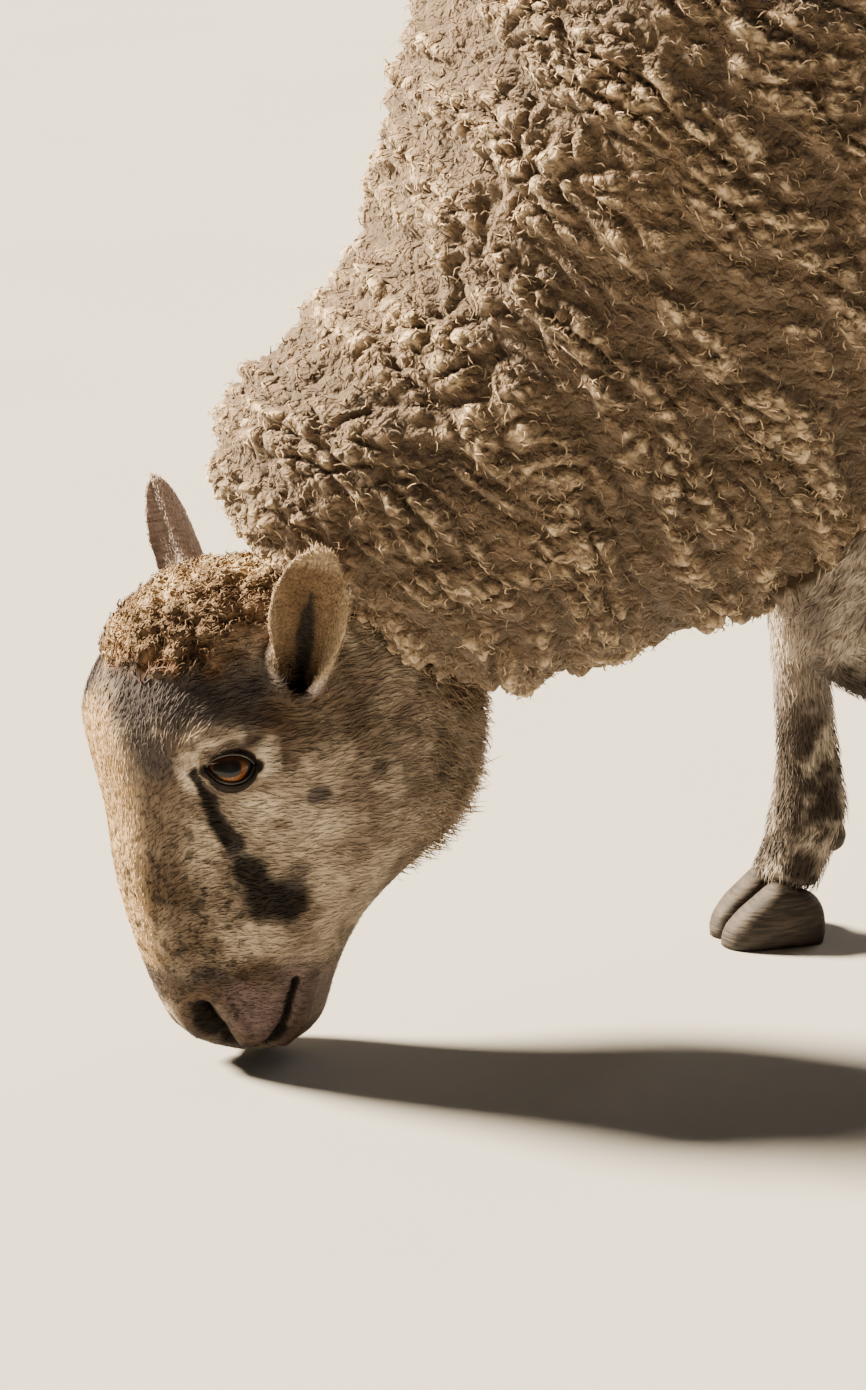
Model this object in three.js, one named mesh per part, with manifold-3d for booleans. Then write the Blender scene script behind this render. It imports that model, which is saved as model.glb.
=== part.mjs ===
// A life-size grazing ewe in full fleece, muzzle on the ground, left fore knee bent.
// Millimetres, +Z up. The ewe faces -X, so its left side is at -Y. The origin is under the middle of
// the whole animal, on the ground. Inside this file X starts at the muzzle, and the last lines shift it.

import * as THREE from "three";
import { mergeVertices } from "three/addons/utils/BufferGeometryUtils.js";
import Module from "manifold-3d";

const wasm = await Module();
wasm.setup();

// ---- Driving dimensions -------------------------------------------------------------------------

const GAP = 0.35; // clear space between two pieces that meet
const HEAD_TURN = 9; // the head looks a little to its left, degrees
const GROUND_REACH = 3000; // wider than the whole animal

// Slices through neck and trunk, from the poll to the rump, out to the tips of the fleece.
// top and bottom are [x, z] in the middle plane; half is the half-breadth; lean makes the top the wider end.
const TORSO_RIBS = [
  { top: [4, 256], bottom: [100, 190], half: 62, lean: -0.1 },
  { top: [-15, 318], bottom: [156, 197], half: 92, lean: -0.05 },
  { top: [12, 379], bottom: [200, 206], half: 112, lean: -0.05 },
  { top: [69, 425], bottom: [242, 212], half: 130, lean: -0.05 },
  { top: [92, 514], bottom: [286, 220], half: 150, lean: -0.04 },
  { top: [126, 606], bottom: [330, 236], half: 168, lean: 0 },
  { top: [190, 672], bottom: [384, 256], half: 182, lean: 0.03 },
  { top: [300, 706], bottom: [446, 268], half: 194, lean: 0.04 },
  { top: [440, 698], bottom: [525, 270], half: 207, lean: 0 },
  { top: [590, 690], bottom: [620, 274], half: 215, lean: -0.03 },
  { top: [740, 696], bottom: [725, 288], half: 214, lean: 0 },
  { top: [880, 692], bottom: [835, 318], half: 205, lean: 0.05 },
  { top: [990, 656], bottom: [955, 334], half: 187, lean: 0.04 },
  { top: [1064, 574], bottom: [1050, 372], half: 138, lean: 0 },
];
const NECK_END = { top: [124, 640], bottom: [322, 200] }; // the plane where neck and trunk part

// Slices through the head in its own frame, from the lips to the poll.
// front lies on forehead and nose, back on jaw and throat, both [x, z].
const HEAD_RIBS = [
  { front: [-10, 3], back: [34, -3], half: 20, lean: 0 },
  { front: [-30, 19], back: [54, 17], half: 30, lean: 0 },
  { front: [-44, 44], back: [62, 44], half: 35, lean: -0.05 },
  { front: [-57, 81], back: [77, 73], half: 38, lean: -0.12 },
  { front: [-65, 112], back: [102, 97], half: 43, lean: -0.12 },
  { front: [-69, 147], back: [130, 116], half: 50, lean: 0 },
  { front: [-76, 178], back: [144, 136], half: 57, lean: 0.1 },
  { front: [-79, 201], back: [148, 160], half: 60, lean: 0.14 },
  { front: [-67, 229], back: [150, 186], half: 57, lean: 0.1 },
  { front: [-47, 257], back: [140, 214], half: 53, lean: 0 },
  { front: [-14, 281], back: [108, 250], half: 46, lean: 0 },
];
// Swellings and hollows of the face: where, how wide, and how far the surface moves. y is mirrored.
const FACE_FORMS = [
  { at: [-40, 50, 198], reach: 24, move: [-3, 8, 3] }, // the bony rim over the eye
  { at: [-42, 44, 150], reach: 22, move: [0, -5, 0] }, // the hollow in front of the eye
  { at: [72, 48, 128], reach: 42, move: [0, 8, 0] }, // the chewing muscle
  { at: [8, 38, 98], reach: 26, move: [0, 4, 0] }, // the cheek over the teeth
  { at: [-22, 26, 26], reach: 15, move: [-2, 4, 0] }, // the wing of the nostril
  { at: [20, 30, 34], reach: 16, move: [0, 3, 0] }, // the upper lip
];
const EYE = { at: [-23, 47.5, 177], radius: 15 };

// An ear is a leaf, thinner at its tip, rolled round its own length. Its root narrows over rootShare of its
// length and its tip over tipShare, and the roll's axis lies axisInset of a radius in front of the root.
const EAR = {
  length: 98, flatWidth: 56, thickness: 6, tipThickness: 4, rootShare: 0.04, tipShare: 0.6, axisInset: 0.75,
};
const EAR_ROLL = [2.9, 2.3, 1.5, 1.0, 0.75, 0.6]; // half the turn of the rolled leaf, root to tip, radians
const EAR_EDGE = 1.6; // how soon the leaf has its whole thickness, away from its edge
const LEFT_EAR = {
  root: [22, -42, 222], axis: [-0.21, -0.62, 0.755], opening: [-0.451, -0.668, -0.591],
};
const RIGHT_EAR = {
  root: [22, 42, 222], axis: [-0.196, 0.736, 0.648], opening: [-0.415, 0.577, -0.704],
};

// Legs are bones with flesh and coat round them. A leg's joints are [x, z]: shoulder, elbow, knee, fetlock
// and coronet, or hip, stifle, hock, fetlock and coronet.
// bone: how far down the leg (1.5 is halfway from the second joint to the third); ahead and behind: from
// the bone's line to the front and rear of the leg; half: half-breadth.
const FORE_FLESH = [
  { bone: 0.5, ahead: 62, behind: 66, half: 54 },
  { bone: 1.0, ahead: 54, behind: 62, half: 52 },
  { bone: 1.4, ahead: 41, behind: 46, half: 42 },
  { bone: 1.72, ahead: 29, behind: 29, half: 29 },
  { bone: 1.9, ahead: 25, behind: 23, half: 24 },
  { bone: 2.05, ahead: 24, behind: 21, half: 23 },
  { bone: 2.25, ahead: 17, behind: 19, half: 17.5 },
  { bone: 2.55, ahead: 16, behind: 19, half: 15.5 },
  { bone: 2.8, ahead: 17, behind: 22, half: 17 },
  { bone: 3.0, ahead: 20, behind: 27, half: 21.5 },
  { bone: 3.45, ahead: 18, behind: 22, half: 20 },
  { bone: 4.0, ahead: 20, behind: 22, half: 22 },
];
const HIND_FLESH = [
  { bone: 0.35, ahead: 100, behind: 130, half: 88 },
  { bone: 0.75, ahead: 84, behind: 150, half: 92 },
  { bone: 1.0, ahead: 66, behind: 146, half: 88 },
  { bone: 1.3, ahead: 56, behind: 108, half: 74 },
  { bone: 1.6, ahead: 45, behind: 66, half: 54 },
  { bone: 1.85, ahead: 32, behind: 40, half: 36 },
  { bone: 2.03, ahead: 24, behind: 32, half: 26 },
  { bone: 2.2, ahead: 18, behind: 23, half: 20 },
  { bone: 2.5, ahead: 16, behind: 18, half: 16 },
  { bone: 2.8, ahead: 17, behind: 22, half: 17 },
  { bone: 3.0, ahead: 20, behind: 28, half: 21.5 },
  { bone: 3.45, ahead: 18, behind: 22, half: 20 },
  { bone: 4.0, ahead: 20, behind: 22, half: 22 },
];
const BONE_STEP = 0.02; // the leg's direction at a slice is taken this far either way along the whole leg

// Where a leg is parted from the trunk: an outline in the side view, and how far from the middle plane.
const FORE_PART = {
  outline: [[250, -50], [255, 290], [330, 362], [430, 362], [520, 250], [520, -50]],
  inner: 34,
};
const HIND_PART = {
  outline: [[740, -50], [760, 330], [850, 470], [1010, 470], [1110, 380], [1110, -50]],
  inner: 7,
};

// A foot is two claws side by side. Slices run from the toe to the heel, as shares of the foot's sizes.
const FOOT = { length: 58, breadth: 25, height: 38, spread: 14, heel: 20, coronet: 28, depth: 6 };
const CLAW_RIBS = [
  { ahead: 1.0, height: 0.18, breadth: 0.26, spread: 0.62 },
  { ahead: 0.83, height: 0.5, breadth: 0.46, spread: 0.85 },
  { ahead: 0.47, height: 1.0, breadth: 0.52, spread: 1.0 },
  { ahead: 0.12, height: 0.8, breadth: 0.5, spread: 1.0 },
  { ahead: -0.06, height: 0.5, breadth: 0.4, spread: 0.95 },
];
const DEWCLAW = { radii: [8, 6, 10], spread: 12, behind: 24, below: 8 };

const LEGS = {
  fore_left: {
    flesh: FORE_FLESH, part: FORE_PART, y: -98, footTurn: -68,
    joints: [[345, 470], [402, 346], [304, 233], [417, 160], [449, 104]],
  },
  fore_right: {
    flesh: FORE_FLESH, part: FORE_PART, y: 90, footTurn: 0,
    joints: [[305, 470], [384, 352], [354, 238], [361, 72], [347, 28]],
  },
  hind_left: {
    flesh: HIND_FLESH, part: HIND_PART, y: -100, footTurn: 0,
    joints: [[885, 560], [808, 396], [914, 266], [869, 80], [844, 28]],
  },
  hind_right: {
    flesh: HIND_FLESH, part: HIND_PART, y: 98, footTurn: 0,
    joints: [[905, 560], [856, 396], [984, 270], [1008, 80], [984, 28]],
  },
};
const TAIL_RIBS = [
  { top: [1005, 640], bottom: [1000, 590], half: 40 },
  { top: [1050, 625], bottom: [1022, 570], half: 38 },
  { top: [1078, 560], bottom: [1035, 545], half: 36 },
  { top: [1086, 490], bottom: [1040, 488], half: 36 },
  { top: [1080, 430], bottom: [1042, 430], half: 28 },
];

// ---- Materials ----------------------------------------------------------------------------------

function finish(color, roughness) {
  return new THREE.MeshStandardMaterial({ color, roughness, metalness: 0 });
}

const fleece = () => finish(0xb9a184, 0.95);
const faceFur = () => finish(0xc3b4a0, 0.85);
const legFur = () => finish(0xb0a290, 0.85);
const horn = () => finish(0x3a302a, 0.55);
const eyeShine = () => finish(0x6a3d1a, 0.08);

// ---- Solids -------------------------------------------------------------------------------------

// Makes a closed geometry a solid, without the slivers that a sphere's poles leave.
function solid(geometry) {
  geometry.deleteAttribute("normal");
  geometry.deleteAttribute("uv");
  const merged = mergeVertices(geometry, 1e-4);
  const index = [];
  for (let i = 0; i < merged.index.count; i += 3) {
    const [a, b, c] = [0, 1, 2].map((k) => merged.index.getX(i + k));
    if (a !== b && b !== c && c !== a) index.push(a, b, c);
  }
  return new wasm.Manifold(
    new wasm.Mesh({
      numProp: 3,
      vertProperties: new Float32Array(merged.attributes.position.array),
      triVerts: new Uint32Array(index),
    }),
  );
}

// Cuts can leave crumbs, so a piece keeps its largest body.
function largest(form) {
  return form.decompose().sort((a, b) => b.volume() - a.volume())[0];
}

function cut(form, ...tools) {
  return largest(tools.reduce((rest, tool) => rest.subtract(tool), form));
}

function mesh(name, form, material) {
  const { vertProperties, triVerts } = form.getMesh();
  const geometry = new THREE.BufferGeometry();
  geometry.setAttribute("position", new THREE.BufferAttribute(vertProperties, 3));
  geometry.setIndex(new THREE.BufferAttribute(triVerts, 1));
  geometry.computeVertexNormals();
  const piece = new THREE.Mesh(geometry, material);
  piece.name = name;
  return piece;
}

function movePoints(geometry, place) {
  const position = geometry.attributes.position;
  const point = new THREE.Vector3();
  for (let i = 0; i < position.count; i++) {
    place(point.fromBufferAttribute(position, i));
    position.setXYZ(i, point.x, point.y, point.z);
  }
  return geometry;
}

// 0 at the very end of a form, 1 where its rounded end is complete.
function roundedEnd(share) {
  return share >= 1 ? 1 : Math.sqrt(1 - (1 - share) ** 2);
}

// A fullness of 2 leaves a circle's sine or cosine as it is, and more makes the circle squarer.
function squared(value, fullness) {
  return Math.sign(value) * Math.abs(value) ** (2 / fullness);
}

// Linear between evenly spaced values.
function between(values, share) {
  const place = THREE.MathUtils.clamp(share, 0, 1) * (values.length - 1);
  const step = Math.min(values.length - 2, Math.floor(place));
  return THREE.MathUtils.lerp(values[step], values[step + 1], place - step);
}

// A form through ribs. A rib has two ends in the plane seen from the side, a half-breadth across that plane,
// the sideways place of its middle, and a lean that makes its first end the wider (+) or narrower (-).
// The rings of points lie between even steps and a sphere's, so that they crowd a little at both ends.
function loft(ribs, { around, along, ends, fullness, grow = 0 }) {
  const first = new THREE.CatmullRomCurve3(ribs.map((r) => new THREE.Vector3(r.first[0], 0, r.first[1])));
  const second = new THREE.CatmullRomCurve3(ribs.map((r) => new THREE.Vector3(r.second[0], 0, r.second[1])));
  const shape = new THREE.CatmullRomCurve3(ribs.map((r) => new THREE.Vector3(r.half, r.y ?? 0, r.lean ?? 0)));
  const heightOf = (t) => first.getPoint(t).sub(second.getPoint(t)).multiplyScalar(0.5);
  const middleOf = (t) => first.getPoint(t).add(second.getPoint(t)).multiplyScalar(0.5);
  const towardStart = middleOf(0).sub(middleOf(1));
  const side = Math.sign(heightOf(0.5).cross(towardStart).y);
  return movePoints(new THREE.SphereGeometry(1, around, along), (point) => {
    const ring = Math.acos(THREE.MathUtils.clamp(point.y, -1, 1)) / Math.PI;
    const t = (ring + (1 - point.y) / 2) / 2;
    const angle = Math.atan2(point.z, point.x);
    const size = roundedEnd(t / ends[0]) * roundedEnd((1 - t) / ends[1]);
    const height = heightOf(t);
    const { x: half, y, z: lean } = shape.getPoint(t);
    height.setLength(height.length() + grow).multiplyScalar(size * squared(Math.cos(angle), fullness));
    const breadth = size * (half + grow) * squared(Math.sin(angle), fullness);
    point.copy(middleOf(t)).add(height);
    point.y = y + side * breadth * (1 + lean * Math.cos(angle));
  });
}

function egg([x, y, z], [rx, ry, rz], around, along) {
  return solid(new THREE.SphereGeometry(1, around, along).scale(rx, ry, rz).translate(x, y, z));
}

// A block that fills one side of the plane through two points of the side view, and half a gap past it.
// sign is +1 for the side on the right of the way from the first point to the second, with +X to the right.
function beyondPlane(from, to, sign) {
  const [dx, dz] = [to[0] - from[0], to[1] - from[1]];
  const block = new THREE.BoxGeometry(GROUND_REACH, GROUND_REACH, GROUND_REACH);
  block.translate((sign * (GROUND_REACH - GAP)) / 2, 0, 0).rotateY(Math.atan2(dx, dz));
  return solid(block.translate((from[0] + to[0]) / 2, 0, (from[1] + to[1]) / 2));
}

// A block of the given outline in the side view, on one side of the middle plane. Its corners move out by
// twice what it grows, so that each of its faces moves out by about that much.
function sideBlock({ outline, inner }, side, grow) {
  const corners = outline.map(([x, z]) => new THREE.Vector2(x, z));
  const middle = corners.reduce((sum, corner) => sum.add(corner), new THREE.Vector2());
  middle.divideScalar(corners.length);
  const grown = corners.map((corner) => corner.clone().sub(middle).setLength(2 * grow).add(corner));
  const outlineShape = new THREE.Shape(grown);
  const block = new THREE.ExtrudeGeometry(outlineShape, { depth: GROUND_REACH, bevelEnabled: false });
  block.rotateX(Math.PI / 2); // the outline's upward direction becomes +Z and the depth runs to -Y
  block.translate(0, side > 0 ? GROUND_REACH + inner - grow : -inner + grow, 0);
  return solid(block);
}

// ---- Neck and trunk -----------------------------------------------------------------------------

function torsoForm(grow) {
  const ribs = TORSO_RIBS.map((r) => ({ ...r, first: r.top, second: r.bottom }));
  return solid(loft(ribs, { around: 28, along: 33, ends: [0.1, 0.09], fullness: 2.25, grow }));
}

function tailForm() {
  const ribs = TAIL_RIBS.map((r) => ({ ...r, first: r.top, second: r.bottom }));
  return solid(loft(ribs, { around: 12, along: 10, ends: [0.15, 0.25], fullness: 2.2 }));
}

// ---- Head ---------------------------------------------------------------------------------------

function mirrored([x, y, z], side) {
  return [x, side * y, z];
}

function turned(form) {
  return form.rotate([0, 0, HEAD_TURN]);
}

function headForm(grow) {
  const ribs = HEAD_RIBS.map((r) => ({ ...r, first: r.front, second: r.back }));
  const skull = loft(ribs, { around: 20, along: 20, ends: [0.1, 0.1], fullness: 2.15, grow });
  return solid(movePoints(skull, moulded));
}

function moulded(point) {
  const start = point.clone();
  for (const { at, reach, move } of FACE_FORMS) {
    for (const side of [-1, 1]) {
      const distance = start.distanceTo(new THREE.Vector3(...mirrored(at, side)));
      const share = Math.exp(-((distance / reach) ** 2));
      point.addScaledVector(new THREE.Vector3(...mirrored(move, side)), share);
    }
  }
}

function eyeForm(side, grow) {
  const radius = EYE.radius + grow;
  return egg(mirrored(EYE.at, side), [radius, radius, radius], 12, 8);
}

// A leaf rolled into a tube at its root and opening towards its tip.
function earForm({ root, axis, opening }) {
  const up = new THREE.Vector3(...axis).normalize();
  const open = new THREE.Vector3(...opening).normalize();
  const across = new THREE.Vector3().crossVectors(up, open).normalize();
  open.crossVectors(across, up).normalize();
  const leaf = movePoints(new THREE.SphereGeometry(1, 16, 13), (point) => {
    const share = (1 - point.y) / 2;
    const angle = Math.atan2(point.z, point.x);
    const size = roundedEnd((1 - share) / EAR.tipShare) * roundedEnd(share / EAR.rootShare);
    const roll = between(EAR_ROLL, share);
    const turn = roll * Math.cos(angle) * size;
    const radius = EAR.flatWidth / 2 / roll;
    const full = THREE.MathUtils.lerp(EAR.thickness, EAR.tipThickness, share);
    const reach = radius + (full / 2) * Math.min(1, size * EAR_EDGE) * Math.sin(angle);
    point.set(...root).addScaledVector(up, share * EAR.length);
    point.addScaledVector(across, reach * Math.sin(turn));
    point.addScaledVector(open, radius * EAR.axisInset - reach * Math.cos(turn));
  });
  return solid(leaf);
}

// ---- Legs ---------------------------------------------------------------------------------------

function legForm({ flesh, joints, y }, grow) {
  const line = new THREE.CatmullRomCurve3(joints.map(([x, z]) => new THREE.Vector3(x, 0, z)));
  const ribs = flesh.map((slice) => {
    const t = slice.bone / (joints.length - 1);
    const above = line.getPoint(Math.max(0, t - BONE_STEP));
    const down = line.getPoint(Math.min(1, t + BONE_STEP)).sub(above).normalize();
    const ahead = new THREE.Vector3(down.z, 0, -down.x); // a quarter turn from down, towards the head
    const middle = line.getPoint(t);
    const front = middle.clone().addScaledVector(ahead, slice.ahead);
    const back = middle.clone().addScaledVector(ahead, -slice.behind);
    return { first: [front.x, front.z], second: [back.x, back.z], half: slice.half, y };
  });
  return solid(loft(ribs, { around: 13, along: 20, ends: [0.05, 0.03], fullness: 2.1, grow }));
}

// One claw, standing with its heel at X = 0 and its toe towards -X, its sole flat on Z = 0.
function clawForm(side) {
  const ribs = CLAW_RIBS.map((r) => ({
    first: [-FOOT.length * r.ahead, FOOT.height * r.height],
    second: [-FOOT.length * r.ahead, -FOOT.depth],
    half: FOOT.breadth * r.breadth,
    y: side * FOOT.spread * r.spread,
  }));
  const form = solid(loft(ribs, { around: 8, along: 6, ends: [0.1, 0.12], fullness: 2.6 }));
  return form.intersect(aboveGround);
}

// Two points of the plane across a leg at its middle joint, square to the line from the joint above to the
// joint below.
function bendPlane(above, joint, below) {
  const down = new THREE.Vector2(below[0] - above[0], below[1] - above[1]).normalize();
  const across = new THREE.Vector2(-down.y, down.x);
  return [-1, 1].map((end) => [joint[0] + end * across.x, joint[1] + end * across.y]);
}

// Behind the fetlock and a little below it.
function dewclawPlace({ joints, y }, side) {
  const [fetlock, coronet] = [joints[3], joints[4]];
  const down = new THREE.Vector2(coronet[0] - fetlock[0], coronet[1] - fetlock[1]).normalize();
  const x = fetlock[0] + down.x * DEWCLAW.below - down.y * DEWCLAW.behind;
  const z = fetlock[1] + down.y * DEWCLAW.below + down.x * DEWCLAW.behind;
  return [x, y + side * DEWCLAW.spread, z];
}

function footPlace({ joints, y, footTurn }) {
  const [x, z] = joints[joints.length - 1];
  return new THREE.Matrix4().makeTranslation(x, y, z)
    .multiply(new THREE.Matrix4().makeRotationY(THREE.MathUtils.degToRad(footTurn)))
    .multiply(new THREE.Matrix4().makeTranslation(FOOT.heel, 0, -FOOT.coronet));
}

// ---- The animal ---------------------------------------------------------------------------------

const ewe = new THREE.Group();
const legs = Object.entries(LEGS).map(([name, leg]) => ({ name, side: Math.sign(leg.y), ...leg }));
const torso = torsoForm(0);
const torsoTool = torsoForm(GAP);
const head = turned(headForm(0));
const headTool = turned(headForm(GAP));
const aboveGround = solid(
  new THREE.BoxGeometry(GROUND_REACH, GROUND_REACH, GROUND_REACH).translate(0, 0, GROUND_REACH / 2),
);

const body = legs.reduce((form, leg) => form.add(legForm(leg, 0)), torso).subtract(headTool);
const legBlocks = legs.map((leg) => sideBlock(leg.part, leg.side, GAP));
const neckEnd = [NECK_END.bottom, NECK_END.top];
ewe.add(mesh("neck", cut(body, beyondPlane(...neckEnd, 1), ...legBlocks), fleece()));
ewe.add(mesh("trunk", cut(body, beyondPlane(...neckEnd, -1), ...legBlocks), fleece()));
ewe.add(mesh("tail", cut(tailForm(), torsoTool), fleece()));

const sockets = [-1, 1].map((side) => turned(eyeForm(side, GAP)));
ewe.add(mesh("head", cut(head.intersect(aboveGround), ...sockets), faceFur()));
for (const [name, side] of [["eye_left", -1], ["eye_right", 1]]) {
  ewe.add(mesh(name, turned(eyeForm(side, 0)), eyeShine()));
}
for (const [name, ear] of [["ear_left", LEFT_EAR], ["ear_right", RIGHT_EAR]]) {
  ewe.add(mesh(name, cut(turned(earForm(ear)), headTool, torsoTool), faceFur()));
}

for (const leg of legs) {
  const { name, side } = leg;
  const legTool = legForm(leg, GAP);
  const parted = body.intersect(sideBlock(leg.part, side, 0));
  const bend = bendPlane(leg.joints[1], leg.joints[2], leg.joints[3]);
  ewe.add(mesh(`${name}_upper`, cut(parted, beyondPlane(...bend, 1)), fleece()));
  ewe.add(mesh(`${name}_lower`, cut(parted, beyondPlane(...bend, -1)), legFur()));
  const place = footPlace(leg);
  for (const [claw, away] of [["outer", side], ["inner", -side]]) {
    const dewclaw = egg(dewclawPlace(leg, away), DEWCLAW.radii, 8, 5);
    ewe.add(mesh(`${name}_dewclaw_${claw}`, cut(dewclaw, legTool), horn()));
    const hoof = clawForm(away).transform(place.elements);
    ewe.add(mesh(`${name}_claw_${claw}`, cut(hoof, legTool), horn()));
  }
}

const box = new THREE.Box3().setFromObject(ewe);
ewe.position.x = -(box.min.x + box.max.x) / 2;
ewe.position.y = -(box.min.y + box.max.y) / 2;

export default ewe;
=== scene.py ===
import math

import bmesh
import bpy
import numpy as np
from mathutils import Matrix, Vector, noise
from mathutils.bvhtree import BVHTree
from mathutils.kdtree import KDTree


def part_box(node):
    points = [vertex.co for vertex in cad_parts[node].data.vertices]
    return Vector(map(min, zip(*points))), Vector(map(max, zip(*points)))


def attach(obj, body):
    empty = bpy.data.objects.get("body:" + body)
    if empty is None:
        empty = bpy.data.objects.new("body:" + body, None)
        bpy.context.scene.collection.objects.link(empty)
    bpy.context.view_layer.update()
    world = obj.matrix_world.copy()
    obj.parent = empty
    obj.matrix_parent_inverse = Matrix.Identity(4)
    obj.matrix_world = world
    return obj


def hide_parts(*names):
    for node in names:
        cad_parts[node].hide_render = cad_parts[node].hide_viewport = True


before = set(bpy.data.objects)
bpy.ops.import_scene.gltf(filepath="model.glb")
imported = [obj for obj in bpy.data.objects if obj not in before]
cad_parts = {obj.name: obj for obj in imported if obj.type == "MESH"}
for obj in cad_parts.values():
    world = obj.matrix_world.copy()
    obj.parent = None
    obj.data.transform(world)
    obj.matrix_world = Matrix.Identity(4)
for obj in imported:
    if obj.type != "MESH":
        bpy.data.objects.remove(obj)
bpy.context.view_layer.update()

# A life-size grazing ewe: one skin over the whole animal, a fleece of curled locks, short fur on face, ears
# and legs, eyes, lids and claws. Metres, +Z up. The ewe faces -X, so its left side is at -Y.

MM = 0.001
LEG_NAMES = ("fore_left", "fore_right", "hind_left", "hind_right")


def middle(node):
    low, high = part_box(node)
    return np.array((low + high) / 2)


# ---- Camera, lights and floor -------------------------------------------------------------------

FRAME_LONG_SIDE = 1390  # pixels
FOCAL_LENGTH = 5640  # in pixels of the long side
SENSOR = 36  # millimetres
CAMERA_TARGET = Vector((-0.3839, 0.020, 0.183))
CAMERA_AZIMUTH, CAMERA_ELEVATION, CAMERA_DISTANCE = math.radians(-18), math.radians(17), 3.0
CAMERA_CLIP = (0.1, 50)


def away(azimuth, elevation):
    """The direction from the animal to a viewer, with angles in radians; azimuth 0 is a viewer at -Y."""
    flat = math.cos(elevation)
    return Vector((math.sin(azimuth) * flat, -math.cos(azimuth) * flat, math.sin(elevation)))


def link(thing):
    bpy.context.scene.collection.objects.link(thing)
    return thing


def aim(thing, place, target):
    thing.location = place
    thing.rotation_euler = (target - place).to_track_quat("-Z", "Y").to_euler()


def make_camera():
    data = bpy.data.cameras.new("camera")
    data.sensor_width = SENSOR
    data.lens = SENSOR * FOCAL_LENGTH / FRAME_LONG_SIDE
    data.clip_start, data.clip_end = CAMERA_CLIP
    camera = link(bpy.data.objects.new("camera", data))
    place = CAMERA_TARGET + CAMERA_DISTANCE * away(CAMERA_AZIMUTH, CAMERA_ELEVATION)
    aim(camera, place, CAMERA_TARGET)
    bpy.context.scene.camera = camera


SUN_STRENGTH, SUN_SPREAD, SUN_TINT = 37.0, 12.5, (1, 0.82, 0.58)  # the spread in degrees
SUN_PLACE = (-127, 36, 3.0)  # azimuth and elevation in degrees, and distance in metres
SOFT_LIGHTS = {  # place, size in metres, power in watts, tint
    "sky_top": ((-60, 78, 3.4), 3.0, 6, (1, 0.95, 0.88)),
    "fill": ((-5, 25, 4.5), 3.0, 4, (1, 0.93, 0.84)),
    "rear": ((115, 30, 4.5), 3.0, 75, (1, 0.93, 0.84)),
}
LIT_PLACE = Vector((-0.2, 0, 0.35))
SKY_TINT, SKY_STRENGTH = (0.92, 0.89, 0.84, 1), 0.06


def add_lamp(name, kind, place, tint):
    data = bpy.data.lights.new(name, kind)
    data.color = tint
    lamp = link(bpy.data.objects.new(name, data))
    azimuth, elevation, distance = place
    direction = away(math.radians(azimuth), math.radians(elevation))
    aim(lamp, LIT_PLACE + distance * direction, LIT_PLACE)
    return data


def make_lights():
    sun = add_lamp("sun_side", "SUN", SUN_PLACE, SUN_TINT)
    sun.energy, sun.angle = SUN_STRENGTH, math.radians(SUN_SPREAD)
    for name, (place, size, power, tint) in SOFT_LIGHTS.items():
        light = add_lamp(name, "AREA", place, tint)
        light.energy, light.size = power, size
    world = bpy.data.worlds.new("studio")
    world.use_nodes = True
    background = world.node_tree.nodes["Background"]
    background.inputs["Color"].default_value = SKY_TINT
    background.inputs["Strength"].default_value = SKY_STRENGTH
    bpy.context.scene.world = world


# ---- Shader maths -------------------------------------------------------------------------------


class Socket:
    """An output socket in expressions: + - * / and ** on values add Math nodes."""

    def __init__(self, shader, output):
        self.shader, self.output = shader, output

    def maths(self, operation, *values):
        return self.shader.node("ShaderNodeMath", {"operation": operation}, *values)[0]

    def __add__(self, other):
        return self.maths("ADD", self, other)

    def __radd__(self, other):
        return self.maths("ADD", other, self)

    def __sub__(self, other):
        return self.maths("SUBTRACT", self, other)

    def __rsub__(self, other):
        return self.maths("SUBTRACT", other, self)

    def __mul__(self, other):
        return self.maths("MULTIPLY", self, other)

    def __rmul__(self, other):
        return self.maths("MULTIPLY", other, self)

    def __truediv__(self, other):
        return self.maths("DIVIDE", self, other)

    def __pow__(self, other):
        return self.maths("POWER", self, other)

    def top(self, other):
        return self.maths("MAXIMUM", self, other)

    def least(self, other):
        return self.maths("MINIMUM", self, other)

    def size(self):
        return self.maths("ABSOLUTE", self)

    def ramp(self, low, high):
        """0 at low, 1 at high, smooth between; low may be the larger."""
        settings = {"interpolation_type": "SMOOTHSTEP"}
        if low < high:
            return self.shader.node("ShaderNodeMapRange", settings, self, low, high, 0.0, 1.0)[0]
        return self.shader.node("ShaderNodeMapRange", settings, self, high, low, 1.0, 0.0)[0]


class Outputs:
    """A node's outputs, by name or by number."""

    def __init__(self, shader, node):
        self.shader, self.node = shader, node

    def __getitem__(self, key):
        return Socket(self.shader, self.node.outputs[key])


COLOURS_IN, COLOUR_OUT = (6, 7), 2  # a Mix node's colour sockets by number, as their names aren't unique


def colour(value):
    return value if isinstance(value, Socket) else (*value, 1.0)


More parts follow.
